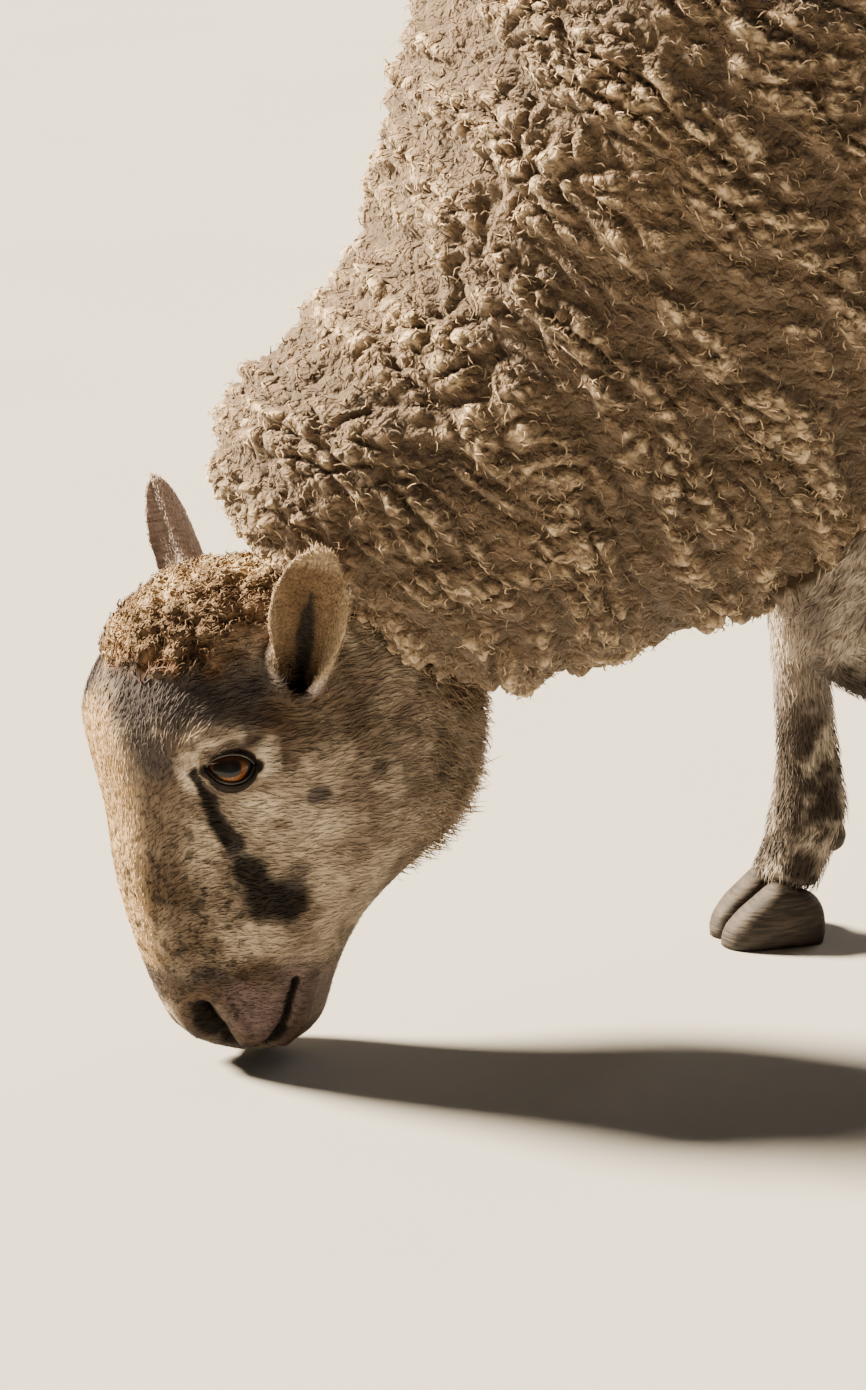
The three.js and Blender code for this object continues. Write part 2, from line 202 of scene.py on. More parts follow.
class Shader:
    """One material and the nodes that make it."""

    def __init__(self, name):
        self.material = bpy.data.materials.new(name)
        self.material.use_nodes = True
        self.tree = self.material.node_tree
        self.surface = self.tree.nodes["Principled BSDF"]
        self.place = self.node("ShaderNodeTexCoord", {})["Object"]

    def node(self, kind, settings, *values, **named):
        made = self.tree.nodes.new(kind)
        for key, value in settings.items():
            setattr(made, key, value)
        for key, value in [*enumerate(values), *named.items()]:
            self.feed(made.inputs[key], value)
        return Outputs(self, made)

    def feed(self, socket, value):
        if isinstance(value, Socket):
            self.tree.links.new(value.output, socket)
        else:
            socket.default_value = value

    def set(self, **inputs):
        """Feeds inputs of the surface shader, whose names have spaces for the underscores."""
        for key, value in inputs.items():
            self.feed(self.surface.inputs[key.replace("_", " ")], value)
        return self.material

    def vector(self, operation, *values, **named):
        """Vector maths; a length or a dot product comes out as a value."""
        made = self.node("ShaderNodeVectorMath", {"operation": operation}, *values, **named)
        return made["Value" if operation in ("LENGTH", "DOT_PRODUCT") else "Vector"]

    def parts(self, vector):
        return self.node("ShaderNodeSeparateXYZ", {}, vector)

    def noise(self, scale, detail=2.0, roughness=0.5, vector=None):
        return self.node("ShaderNodeTexNoise", {}, Vector=vector or self.place, Scale=scale, Detail=detail,
                         Roughness=roughness)["Fac"]

    def cells(self, scale, vector):
        return self.node("ShaderNodeTexVoronoi", {"feature": "F1"}, Vector=vector, Scale=scale)["Distance"]

    def spot(self, centre, radii, soft, warp):
        """1 inside an ellipsoid, 0 outside; warp shifts the edge."""
        inside = self.vector("DIVIDE", self.vector("SUBTRACT", self.place, centre), radii)
        return (self.vector("LENGTH", inside) + warp).ramp(1 + soft, 1 - soft)

    def stroke(self, place, start, end):
        """How far each place is from the line between start and end."""
        start, bone = Vector(start), Vector(end) - Vector(start)
        offset = self.vector("SUBTRACT", place, tuple(start))
        down = self.vector("DOT_PRODUCT", offset, tuple(bone)) / bone.length_squared
        near = self.vector("SCALE", tuple(bone), Scale=down.top(0.0).least(1.0))
        return self.vector("LENGTH", self.vector("SUBTRACT", offset, near))

    def mix(self, share, first, second):
        made = self.node("ShaderNodeMix", {"data_type": "RGBA", "clamp_factor": True}, Factor=share)
        for key, value in zip(COLOURS_IN, (first, second)):
            self.feed(made.node.inputs[key], colour(value))
        return made[COLOUR_OUT]

    def bump(self, height, distance, strength):
        return self.node("ShaderNodeBump", {}, Height=height, Distance=distance, Strength=strength)["Normal"]

    def attribute(self, name, output="Fac"):
        return self.node("ShaderNodeAttribute", {"attribute_name": name})[output]


# ---- Meshes as arrays ---------------------------------------------------------------------------


def array_of(collection, name, width, kind=np.float32):
    """One array of a named property of a mesh's points, edges or the like."""
    flat = np.empty(len(collection) * width, kind)
    collection.foreach_get(name, flat)
    return flat.reshape(-1, width)


def points_of(mesh):
    return array_of(mesh.vertices, "co", 3).astype(float)


def normals_of(mesh):
    return array_of(mesh.vertex_normals, "vector", 3).astype(float)


def edges_of(mesh):
    return array_of(mesh.edges, "vertices", 2, np.int32)


def move_points(mesh, points):
    mesh.vertices.foreach_set("co", points.astype(np.float32).ravel())
    mesh.update()


def editable(mesh):
    shape = bmesh.new()
    shape.from_mesh(mesh)
    return shape


def settle(shape, mesh):
    """Writes an edited shape into a mesh."""
    shape.to_mesh(mesh)
    shape.free()
    return mesh


def dress(mesh, material):
    mesh.shade_smooth()
    mesh.materials.clear()
    mesh.materials.append(material)


def unit(vectors):
    return vectors / np.maximum(np.linalg.norm(vectors, axis=-1, keepdims=True), 1e-9)


def rise(values, low, high):
    """0 at low, 1 at high, smooth between; low may be the larger."""
    share = np.clip((values - low) / (high - low), 0, 1)
    return share * share * (3 - 2 * share)


def evened(points, edges, weight, rounds):
    """Moves each point towards the middle of its neighbours."""
    first, second = edges.T
    count = np.bincount(edges.ravel(), minlength=len(points))[:, None]
    total = np.empty_like(points)
    for _ in range(rounds):
        for k in range(3):
            total[:, k] = np.bincount(first, points[second, k], len(points))
            total[:, k] += np.bincount(second, points[first, k], len(points))
        points = points + weight[:, None] * (total / count - points)
    return points


CLOUD_STEPS, WAVE_STEPS = (17.3, 5.1, 9.7), np.array([7.3, 3.1, 5.7])  # from one seed's noise to the next


def cloud(points, scale, seed):
    """Smooth noise from about -1 to 1 at each point, with features about as large as scale."""
    shift = Vector([seed * step for step in CLOUD_STEPS])
    return np.array([noise.noise(Vector(p) + shift) for p in points / scale])


def wave_noise(points, scales, seed):
    """Smooth noise whose features are as large as scales, per axis."""
    return np.array([noise.noise(Vector(p)) for p in points / scales + seed * WAVE_STEPS])


def cloud_of_three(points, scale):
    return np.stack([cloud(points, scale, seed) for seed in (12, 13, 14)], axis=1)


def nearest_cells(points):
    """How far each point is from the middles of the two nearest of cells that are 1 wide."""
    return np.array([noise.voronoi(Vector(p))[0][:2] for p in points])


# ---- Where things are on the body ---------------------------------------------------------------

HEAD_TURN = math.radians(9)
EYES_MIDDLE = np.array((-23, 0, 177)) * MM  # between the eyes, in the head's own frame
TURN = np.array([
    [math.cos(HEAD_TURN), -math.sin(HEAD_TURN), 0],
    [math.sin(HEAD_TURN), math.cos(HEAD_TURN), 0],
    [0, 0, 1],
])
HEAD_MIDDLE = (middle("eye_left") + middle("eye_right")) / 2
HEAD_ORIGIN = HEAD_MIDDLE - TURN @ EYES_MIDDLE


def to_head(points):
    """Row frame in metres to the head's own frame in millimetres: X from the lips back, Z up."""
    return (points - HEAD_ORIGIN) @ TURN / MM


def from_head(points):
    return np.asarray(points, float) * MM @ TURN.T + HEAD_ORIGIN


MUZZLE_X = HEAD_ORIGIN[0]  # the bones below count X from the lips
LEG_BONES = {
    # sideways place, and (x, z) of shoulder, elbow, knee, fetlock, coronet, or hip, stifle, hock, and so on
    "fore_left": (-98, [(345, 470), (402, 346), (304, 233), (417, 160), (449, 104)]),
    "fore_right": (90, [(305, 470), (384, 352), (354, 238), (361, 72), (347, 28)]),
    "hind_left": (-100, [(885, 560), (808, 396), (914, 266), (869, 80), (844, 28)]),
    "hind_right": (98, [(905, 560), (856, 396), (984, 270), (1008, 80), (984, 28)]),
}
# Down a leg (1 is the second joint, 2 the third): how far out its surface lies, and the depth of its coat.
LEG_COATS = {
    "fore": [(0.5, 66, 22), (1.0, 60, 22), (1.4, 46, 12), (1.7, 31, 3), (2.0, 25, 2.5), (4.0, 25, 2)],
    "hind": [(0.5, 120, 22), (1.0, 105, 22), (1.45, 70, 18), (1.8, 38, 3), (2.0, 30, 2.5), (4.0, 25, 2)],
}
FLEECE_DEPTH, TAIL_DEPTH, FACE_DEPTH, EAR_DEPTH = 22, 15, 2.0, 0.7  # millimetres
BODY_LIE = (0.45, 0.0, -0.9)
TAIL_START, TAIL_SIDE = (0.02, 0.05), 1.1  # where the tail's thinner coat begins and is all there; its reach
LEG_REACH = (1.5, 1.12)  # the leg's coat begins this many times its reach from the bones, then is all there
WOOL_ENDS = (8, 4)  # coat depths in millimetres: wool above the first, short fur under the second
LIE_TURNS = (0.8, 1.8)  # places down a leg between which the lie turns along the bones


def bones(leg):
    side, joints = LEG_BONES[leg]
    return np.array([(MUZZLE_X + x * MM, side * MM, z * MM) for x, z in joints])


def along_bones(points, line):
    """For each point: its distance from a line of bones, how far down the line it is, and the bone's way."""
    best = np.full(len(points), np.inf)
    place, way = np.zeros(len(points)), np.zeros((len(points), 3))
    for k, (start, end) in enumerate(zip(line[:-1], line[1:])):
        bone = end - start
        share = np.clip((points - start) @ bone / (bone @ bone), 0, 1)
        distance = np.linalg.norm(points - start - share[:, None] * bone, axis=1)
        nearer = distance < best
        best[nearer], place[nearer], way[nearer] = distance[nearer], k + share[nearer], unit(bone)
    return best, place, way


class Coat:
    """What grows at each of many points: the depth of the coat, how much of it is wool, and its lie."""

    def __init__(self, points):
        self.depth = np.full(len(points), float(FLEECE_DEPTH))
        self.wool = np.ones(len(points))
        self.leg = np.zeros(len(points))
        self.part = np.zeros(len(points), int)
        self.lie = np.tile(BODY_LIE, (len(points), 1))
        low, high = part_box("tail")
        start, whole = TAIL_START
        near_tail = rise(points[:, 0], low.x + start, low.x + whole)
        self.depth += near_tail * (np.abs(points[:, 1]) < high.y * TAIL_SIDE) * (TAIL_DEPTH - FLEECE_DEPTH)
        for index, name in enumerate(LEG_NAMES):
            table = np.array(LEG_COATS[name[:4]])
            distance, place, way = along_bones(points, bones(name))
            reach = np.interp(place, table[:, 0], table[:, 1]) * MM
            depth = np.interp(place, table[:, 0], table[:, 2])
            share = rise(distance, reach * LEG_REACH[0], reach * LEG_REACH[1])
            self.depth += share * (depth - self.depth)
            self.part[(share > 0.5) & (place > 1)] = index + 1
            short = share * rise(depth, *WOOL_ENDS)
            self.wool = np.minimum(self.wool, 1 - short)
            self.leg = np.maximum(self.leg, short)
            self.lie += (share * rise(place, *LIE_TURNS))[:, None] * (way - self.lie)
        self.depth *= MM


# ---- Skin ---------------------------------------------------------------------------------------

BODY_NODES = ["neck", "trunk", "tail", *(f"{leg}_{part}" for leg in LEG_NAMES for part in ("upper", "lower"))]
HEAD_NODES = ["head", "eye_left", "eye_right", "ear_left", "ear_right"]
BODY_VOXEL, HEAD_VOXEL = 0.0036, 0.0019
SWELL, SAME_POINT = 0.0006, 1e-5  # swelling closes the thin gaps between the solids before they become one
BODY_TRIANGLES = 40000
# How far each round evens a surface out, what wool adds to that, and the rounds.
EVEN_OUTLINE, EVEN_SKIN = ((0.2, 0.6, 12), (0.0, 0.8, 25)), ((0.0, 0.6, 10),)


def object_of(name, mesh):
    return link(bpy.data.objects.new(name, mesh))


def apply_modifiers(thing):
    bpy.context.view_layer.update()
    graph = bpy.context.evaluated_depsgraph_get()
    mesh = bpy.data.meshes.new_from_object(thing.evaluated_get(graph))
    thing.modifiers.clear()
    thing.data = mesh
    return mesh


def fused(name, nodes, voxel):
    """One closed surface round copies of some solids of the frame."""
    whole = bmesh.new()
    for node in nodes:
        copy = editable(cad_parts[node].data)
        bmesh.ops.remove_doubles(copy, verts=copy.verts, dist=SAME_POINT)
        copy.normal_update()
        for vertex in copy.verts:
            vertex.co += vertex.normal * SWELL
        part = settle(copy, bpy.data.meshes.new(node + "_copy"))
        whole.from_mesh(part)
        bpy.data.meshes.remove(part)
    thing = object_of(name, settle(whole, bpy.data.meshes.new(name)))
    remesh = thing.modifiers.new("fuse", "REMESH")
    remesh.mode = "VOXEL"
    remesh.voxel_size = voxel
    apply_modifiers(thing)
    return thing


def evened_by_wool(points, edges, wool, passes):
    for bare, more, rounds in passes:
        points = evened(points, edges, bare + more * wool, rounds)
    return points


def make_body_skin():
    thing = fused("body_skin", BODY_NODES, BODY_VOXEL)
    mesh = thing.data
    points, edges = points_of(mesh), edges_of(mesh)
    outline = BVHTree.FromPolygons(points.tolist(), [tuple(p.vertices) for p in mesh.polygons])
    points = evened_by_wool(points, edges, Coat(points).wool, EVEN_OUTLINE)
    move_points(mesh, points)
    coat = Coat(points)
    points = points - normals_of(mesh) * coat.depth[:, None]
    move_points(mesh, evened_by_wool(points, edges, coat.wool, EVEN_SKIN))
    group = thing.vertex_groups.new(name="wool")
    for level in np.unique(np.round(coat.wool, 1)):
        members = np.nonzero(np.abs(coat.wool - level) <= 0.05)[0]
        group.add(members.tolist(), float(level), "REPLACE")
    thin = thing.modifiers.new("thin", "DECIMATE")
    thin.ratio = BODY_TRIANGLES / (2 * len(mesh.polygons))
    thin.vertex_group = group.name
    thin.vertex_group_factor = 1.0
    apply_modifiers(thing)
    thing.vertex_groups.clear()
    return thing, outline


# ---- Head skin ----------------------------------------------------------------------------------
# Lengths from here to the end of this part are millimetres in the head's own frame, left side (-Y).

EYEBALL = 15.0  # radius
EYE_AXES = np.array([(0.977, -0.213, 0.02), (-0.009, 0.053, 0.999), (-0.21, -0.977, 0.05)])  # rear, up, out
EYE_OPENING = {"middle": (1.0, 3.2), "half_length": 13.5, "above": 7.5, "below": 8.0}
OPENING_SLOPE, OPENING_ARCH = 0.6, 1.25  # how far its ends lie off the level, and the power of its arch
LID, LEAST_LID = 2.2, 3.0  # thickness, and the least that a lid stands out from the eyeball's centre
LID_REACH = (12, 2)  # the lids' bulge begins this far from the opening, and is all there at the second
LID_RIM, LID_RIM_WIDTH = 0.7, 1.6
BACK_OF_EYE = -5  # places that lie deeper belong to the other side of the head
SOCKET_GAP = 2.5  # from the eyeball's surface in to the skin behind it
SOCKET_EDGE = (-0.3, 0.8)  # how far inside the opening the skin sinks back
FOLD_BARE = (0.2, 0.42)  # the strength of a line above which its skin is bare

# Furrows (+) and ridges (-): the width, how deep it goes, how bare it is, and its line on the skin.
FACE_LINES = [
    (7.4, 15, 1, [(-30, -27, 33), (-25, -26, 28), (-20, -25, 22)]),
    (5.5, 7, 1, [(-30, -23, 25), (-21, -22, 15)]),
    (4.6, 8, 1, [(-20, -25, 22), (-13, -22, 14), (-7, -17, 9)]),
    (4.5, -2.0, 0.2, [(-33, -20, 36), (-33, -18, 26), (-27, -15, 14)]),
    (4.5, -1.6, 0.2, [(-14, -31, 38), (-6, -29, 26), (-1, -23, 14)]),
    (2.4, 3.0, 0.9, [(-36, 0, 26), (-26, 0, 12), (-14, 0, 5)]),
    (2.6, 5.5, 1.0, [(24, -36, 49), (21, -35, 40), (19, -33, 28), (15, -29, 14), (10, -20, 5), (8, 0, 2)]),
    (4.2, 3.5, 1.0, [(17, -31, 20), (13, -26, 10), (9, -18, 4)]),
    (5.0, -2.4, 0.3, [(33, -34, 50), (31, -33, 38), (28, -30, 24), (22, -24, 10)]),
    (5.0, -1.4, 0.1, [(12, -37, 48), (10, -35, 34), (6, -31, 20)]),
    (3.6, 1.8, 0.5, [(-38, -52, 174), (-35, -47, 166), (-27, -43, 150), (-18, -42, 136)]),
    (2.4, 2.0, 0, [(-47, -48, 183), (-38, -56, 190), (-24, -61, 195), (-8, -60, 195), (2, -58, 190)]),
    (2.4, -1.2, 0, [(-46, -50, 176), (-40, -56, 184), (-26, -60, 190), (-12, -60, 189)]),
    (6, -1.8, 0, [(-50, -44, 190), (-40, -52, 199), (-20, -57, 203), (0, -58, 200)]),
    (2.4, 1.0, 0, [(4, -58, 186), (12, -60, 180), (18, -60, 172)]),
    (3.0, 0.9, 0, [(-38, -52, 160), (-22, -53, 156), (-6, -56, 160)]),
    (7.0, -0.8, 0, [(-52, -14, 150), (-56, -13, 110), (-50, -14, 75)]),
    (9.0, 1.2, 0, [(-10, -40, 130), (-14, -38, 100), (-6, -36, 75)]),
]
FINE_PLACES = [((-23, -50, 178), 25), ((-14, -24, 22), 21), ((20, -32, 32), 22)]  # middle and reach, mirrored


def mirrored(points, side):
    """Left-side places as they are for side -1, and on the right side for +1."""
    return np.asarray(points, float) * (1, -side, 1)


def eye_centre(side):
    return to_head(middle("eye_left" if side < 0 else "eye_right"))


def to_eye(points, side):
    """The head's frame to an eyeball's: rearwards, up and out of the head, from its centre."""
    return (points - eye_centre(side)) @ mirrored(EYE_AXES, side).T


def from_eye(points, side):
    return points @ mirrored(EYE_AXES, side) + eye_centre(side)


def opening_edge(rear):
    """How high the upper and the lower lid's edge are over a place along the eye's opening."""
    across = np.clip((rear - EYE_OPENING["middle"][0]) / EYE_OPENING["half_length"], -1, 1)
    arch = np.sqrt(1 - across ** 2) ** OPENING_ARCH
    level = EYE_OPENING["middle"][1] - OPENING_SLOPE * across
    return level + EYE_OPENING["above"] * arch, level - EYE_OPENING["below"] * arch


def from_opening(rear, up):
    """How far places are outside an eye's opening, and how far inside it from the nearer lid's edge."""
    high, low = opening_edge(rear)
    beyond = np.maximum(np.abs(rear - EYE_OPENING["middle"][0]) - EYE_OPENING["half_length"], 0)
    outside = np.hypot(np.maximum(np.maximum(up - high, low - up), 0), beyond)
    return outside, np.minimum(high - up, up - low)


def open_eye(points, side):
    rear, up, out = to_eye(points, side).T
    outside, inside = from_opening(rear, up)
    across = np.hypot(rear, up)
    ball = np.sqrt(np.maximum(EYEBALL ** 2 - across ** 2, 0))
    lid = np.sqrt(np.maximum((EYEBALL + LID) ** 2 - across ** 2, LEAST_LID ** 2))
    near = rise(outside, *LID_REACH) * (out > BACK_OF_EYE)
    new = out + near * (np.maximum(lid, out - 2) - out)
    new = new + near * LID_RIM * (np.exp(-(outside / LID_RIM_WIDTH) ** 2) * (outside > 0))
    hidden = rise(inside, *SOCKET_EDGE) * (outside <= -SOCKET_EDGE[0]) * (out > BACK_OF_EYE)
    new = new + hidden * (np.minimum(ball - SOCKET_GAP, new) - new)
    return from_eye(np.stack([rear, up, new], axis=1), side)


def pressed(points, normals):
    """Face lines, on both sides of the head: the new points, and how bare each is."""
    shift, bare = np.zeros(len(points)), np.zeros(len(points))
    for width, deep, bareness, course in FACE_LINES:
        starts_midway = abs(course[0][1]) < 1
        for side in (-1,) if starts_midway else (-1, 1):
            snapped = points[nearest(points, mirrored(course, side))]
            distance, _, _ = along_bones(points, snapped)
            near = np.exp(-(distance / width) ** 2)
            shift -= deep * near
            bare = np.maximum(bare, bareness * rise(near, *FOLD_BARE))
    return points + normals * shift[:, None], bare


def tree_with(places):
    tree = KDTree(len(places))
    for k, place in enumerate(places):
        tree.insert(place, k)
    tree.balance()
    return tree


def nearest(centres, points):
    """For each point, which of the centres is nearest."""
    tree = tree_with(centres)
    return np.array([tree.find(point)[1] for point in points])


def tree_of(node):
    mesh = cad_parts[node].data
    mesh.calc_loop_triangles()
    faces = [tuple(t.vertices) for t in mesh.loop_triangles]
    return BVHTree.FromPolygons([v.co.copy() for v in mesh.vertices], faces)


def outside_of(tree, points):
    """How far each point is out of a solid, in metres; negative inside."""
    far = np.empty(len(points))
    for k, point in enumerate(points):
        place, normal, _, distance = tree.find_nearest(Vector(point))
        far[k] = distance if (Vector(point) - place).dot(normal) > 0 else -distance
    return far


# An ear is a leaf rolled round its own length: half its turn in radians at even steps from root to tip.
EAR_LENGTH, EAR_WIDTH, EAR_AXIS_INSET, EAR_CANAL = 98, 56, 0.75, 15
EAR_ROLL = (2.9, 2.3, 1.5, 1.0, 0.75, 0.6)
EAR_SWELL, POLL_SWELL = 3.5, 4.5  # flesh that fills out the ear's root, and the head under it
EARS = {  # in the head's own frame: the root, the way to the tip, and the way that the hollow faces
    "ear_left": ((22, -42, 222), (-0.21, -0.62, 0.755), (-0.451, -0.668, -0.591)),
    "ear_right": ((22, 42, 222), (-0.196, 0.736, 0.648), (-0.415, 0.577, -0.704)),
}


def ear_bones(node):
    """An ear's root and tip."""
    root, axis, _ = (np.array(part, float) for part in EARS[node])
    return from_head([root, root + unit(axis) * EAR_LENGTH])


def half_turn_of_ear(share):
    return np.interp(share, np.linspace(0, 1, len(EAR_ROLL)), EAR_ROLL)


def in_ear(points, node):
    """Places seen from an ear: how far towards its tip, the turn round its roll, and how deep inside."""
    root, axis, opening = (np.array(part, float) for part in EARS[node])
    axis = unit(axis)
    across = unit(np.cross(axis, opening))
    opening = np.cross(across, axis)
    local = to_head(points) - root
    share = local @ axis / EAR_LENGTH
    radius = EAR_WIDTH / 2 / half_turn_of_ear(share)
    ahead, sideways = local @ opening - radius * EAR_AXIS_INSET, local @ across
    return share, np.arctan2(sideways, -ahead), radius - np.hypot(ahead, sideways)


# Where these are: millimetres inside an ear's roll (negative outside it), and shares of the ear's length.
SWELL_REACH, SWELL_OUTSIDE, SWELL_ALONG = 6, (0.5, -1.0), (0.55, 0.15)
MOUND, MOUND_OUTSIDE = (0.030, 0.014), (-3, -8)  # the first is in metres from the ear's root
CANAL_INSIDE, CANAL_ALONG, CANAL_END = (1.0, 4.0), (0.40, 0.15), -0.25


def shape_ears(points, normals):
    """Fleshy ear roots: the backs of the ears swell towards the head, and a canal leads into it."""
    for node in EARS:
        share, _, inside = in_ear(points, node)
        close = np.abs(inside) < SWELL_REACH
        grown = close * (share > 0.0) * rise(inside, *SWELL_OUTSIDE) * rise(share, *SWELL_ALONG)
        root = from_head(EARS[node][0])
        mound = rise(np.linalg.norm(points - root, axis=1), *MOUND) * rise(inside, *MOUND_OUTSIDE)
        points = points + normals * (np.maximum(grown * EAR_SWELL, mound * POLL_SWELL) * MM)[:, None]
        canal = rise(inside, *CANAL_INSIDE) * rise(share, *CANAL_ALONG) * (share > CANAL_END)
        points = points - (canal * EAR_CANAL * MM)[:, None] * (TURN @ unit(np.array(EARS[node][1], float)))
    return points


EAR_ENDS, EAR_NEAR = (0.12, 1.1), (9, 5)  # shares of an ear's length, and millimetres from its roll
OFF_HEAD, EARS_BEGIN = (0.002, 0.006), 5  # metres from the head's solid, and millimetres back from the lips


def ear_nearness(points):
    """1 on and in the ears, 0 a little way off."""
    best = np.zeros(len(points))
    root, tip = EAR_ENDS
    for node in EARS:
        share, _, inside = in_ear(points, node)
        best = np.maximum(best, (share > root) * (share < tip) * rise(np.abs(inside), *EAR_NEAR))
    return best


def ear_share(points):
    """1 on the ears, 0 on the rest of the head."""
    far = outside_of(tree_of("head"), points)
    local = to_head(points)
    return rise(far, *OFF_HEAD) * (local[:, 0] > EARS_BEGIN)


def refined(mesh):
    """Halves the faces near eyes, nostrils and mouth."""
    whole = editable(mesh)
    local = to_head(points_of(mesh))
    near = np.zeros(len(local), bool)
    for place, reach in FINE_PLACES:
        for side in (-1, 1):
            near |= np.linalg.norm(local - mirrored(place, side), axis=1) < reach
    whole.verts.ensure_lookup_table()
    edges = [e for e in whole.edges if near[e.verts[0].index] and near[e.verts[1].index]]
    bmesh.ops.subdivide_edges(whole, edges=edges, cuts=1, use_grid_fill=True)
    bmesh.ops.triangulate(whole, faces=[f for f in whole.faces if len(f.verts) > 4])
    settle(whole, mesh)


EVEN_HEAD, EVEN_EARS = (0.8, 26), (0.35, 3)  # how far each round evens these out, and the rounds
LID_BARE = (5.0, 3.4)  # skin is bare this near an eye's opening


def make_head_skin():
    thing = fused("head_skin", HEAD_NODES, HEAD_VOXEL)
    mesh = thing.data
    points, edges = points_of(mesh), edges_of(mesh)
    ear = ear_share(points)
    for share, (weight, rounds) in ((1 - ear, EVEN_HEAD), (ear, EVEN_EARS)):
        points = evened(points, edges, weight * share, rounds)
    move_points(mesh, points)
    depth = (FACE_DEPTH + ear * (EAR_DEPTH - FACE_DEPTH)) * MM
    move_points(mesh, points - normals_of(mesh) * depth[:, None])
    refined(mesh)
    local, bare = pressed(to_head(points_of(mesh)), normals_of(mesh) @ TURN)
    for side in (-1, 1):
        local = open_eye(local, side)
    points = shape_ears(from_head(local), normals_of(mesh))
    move_points(mesh, points)
    bare = np.maximum(bare, rise(lid_distance(to_head(points)), *LID_BARE))
    return thing, (points, bare)


TOPKNOT_LUMP, TOPKNOT_HEIGHT, TOPKNOT_GROOVE = 10, 5.0, 5.5
TOPKNOT_BEND, TOPKNOT_BEND_SIZE = 0.003, 0.009  # metres
NECK_BEGINS = 60  # millimetres back from the lips
CELL_EDGE = 0.75  # how far a cell's edge is from its middle, for a cell about 1 wide


def make_skin():
    skin, outline = make_body_skin()
    head, bare_places = make_head_skin()
    join = skin.modifiers.new("join", "BOOLEAN")
    join.operation, join.solver, join.object = "UNION", "MANIFOLD", head
    apply_modifiers(skin)
    bpy.data.objects.remove(head)
    skin.name = skin.data.name = "skin"
    points, normals = points_of(skin.data), normals_of(skin.data)
    local = to_head(points)
    off_ears = rise(ear_nearness(points), 0.5, 0.0)
    crown = topknot_share(local) * (local[:, 0] < NECK_BEGINS) * off_ears
    chosen = np.nonzero(crown > 0.02)[0]
    bent = points[chosen] + TOPKNOT_BEND * cloud_of_three(points[chosen], TOPKNOT_BEND_SIZE)
    lump = nearest_cells(bent / (TOPKNOT_LUMP * MM))[:, 0]
    groove = TOPKNOT_GROOVE * (lump / CELL_EDGE).clip(0, 1) ** 2
    high = crown[chosen] * (TOPKNOT_HEIGHT - groove) * MM
    points[chosen] += normals[chosen] * high[:, None]
    move_points(skin.data, points)
    skin.data.shade_smooth()
    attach(skin, "root")
    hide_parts(*BODY_NODES, "head", "ear_left", "ear_right")
    return skin, outline, bare_places


# ---- Where each coat grows ----------------------------------------------------------------------

POLL = np.array((8, 0, 222))  # head's own frame
UNWRAP = {  # where each part lies on the coats' map: left, bottom, width, height
    "torso": (0.0, 0.0, 1.0, 0.5),
    "fore_left": (0.0, 0.52, 0.24, 0.2), "fore_right": (0.25, 0.52, 0.24, 0.2),
    "hind_left": (0.5, 0.52, 0.24, 0.2), "hind_right": (0.75, 0.52, 0.24, 0.2),
    "head": (0.0, 0.74, 0.6, 0.25),
    "ear_left": (0.62, 0.74, 0.18, 0.25), "ear_right": (0.81, 0.74, 0.18, 0.25),
}
HEAD_PART, FIRST_EAR_PART = 5, 6  # a part's number is its place in the list above
MAP_MARGIN = 0.02  # of each part's field on the map
PATCH = 0.003  # how large a tuft is on the map
TRIES, CLOSEST = 3.2, 0.84  # places tried for one that is wanted, and how near another may be, of the spacing
HEAD_BALL = ((20, 0, 140), 260)  # holds the whole head and both ears: middle and radius
# Round the middle between the eyes, all skin in this ball is the head's, up to the rear and top given here.
FACE_BALL, FACE_REAR, FACE_TOP = 72, 4, 205
HEAD_REACH, EAR_REACH = 0.004, (0.004, 0.002)  # skin this near the solids, in metres, is theirs
EAR_BALL = 0.075  # round an ear's middle, it holds all of the ear
WOOL_BEGINS = (0.005, 0.010)  # metres under the coat's outline where skin gets its wool
CHEEK, JAW = (-62, -22), (60, 110)  # millimetres back from the lips
JAW_LIE = np.array((0.3, 0, -0.5))


def head_lie(local):
    """Hair on the head grows from the lips up, and backwards on the cheeks."""
    side = rise(local[:, 0], *CHEEK)
    lie = np.stack([0.2 + 0.8 * side, 0.12 * np.sign(local[:, 1]), 0.95 - 0.8 * side], axis=1)
    throat = rise(local[:, 0], *JAW)[:, None]
    return unit(lie + throat * JAW_LIE) @ TURN.T


FAR, BARE_RIM_SHIFT = 99.0, (1.1, -1.9, 0)  # the bare rim lies off the opening by the second


def lid_distance(local):
    """How far each point is from the edge of the nearer eye's lids, in millimetres."""
    best = np.full(len(local), FAR)
    for side in (-1, 1):
        rear, up, out = (to_eye(local, side) - BARE_RIM_SHIFT).T
        gap, _ = from_opening(rear, up)
        best = np.minimum(best, np.where(out > 0, gap, FAR))
    return best


def flattened(lie, normals):
    """Directions along a surface."""
    return unit(lie - normals * np.sum(lie * normals, axis=1, keepdims=True))


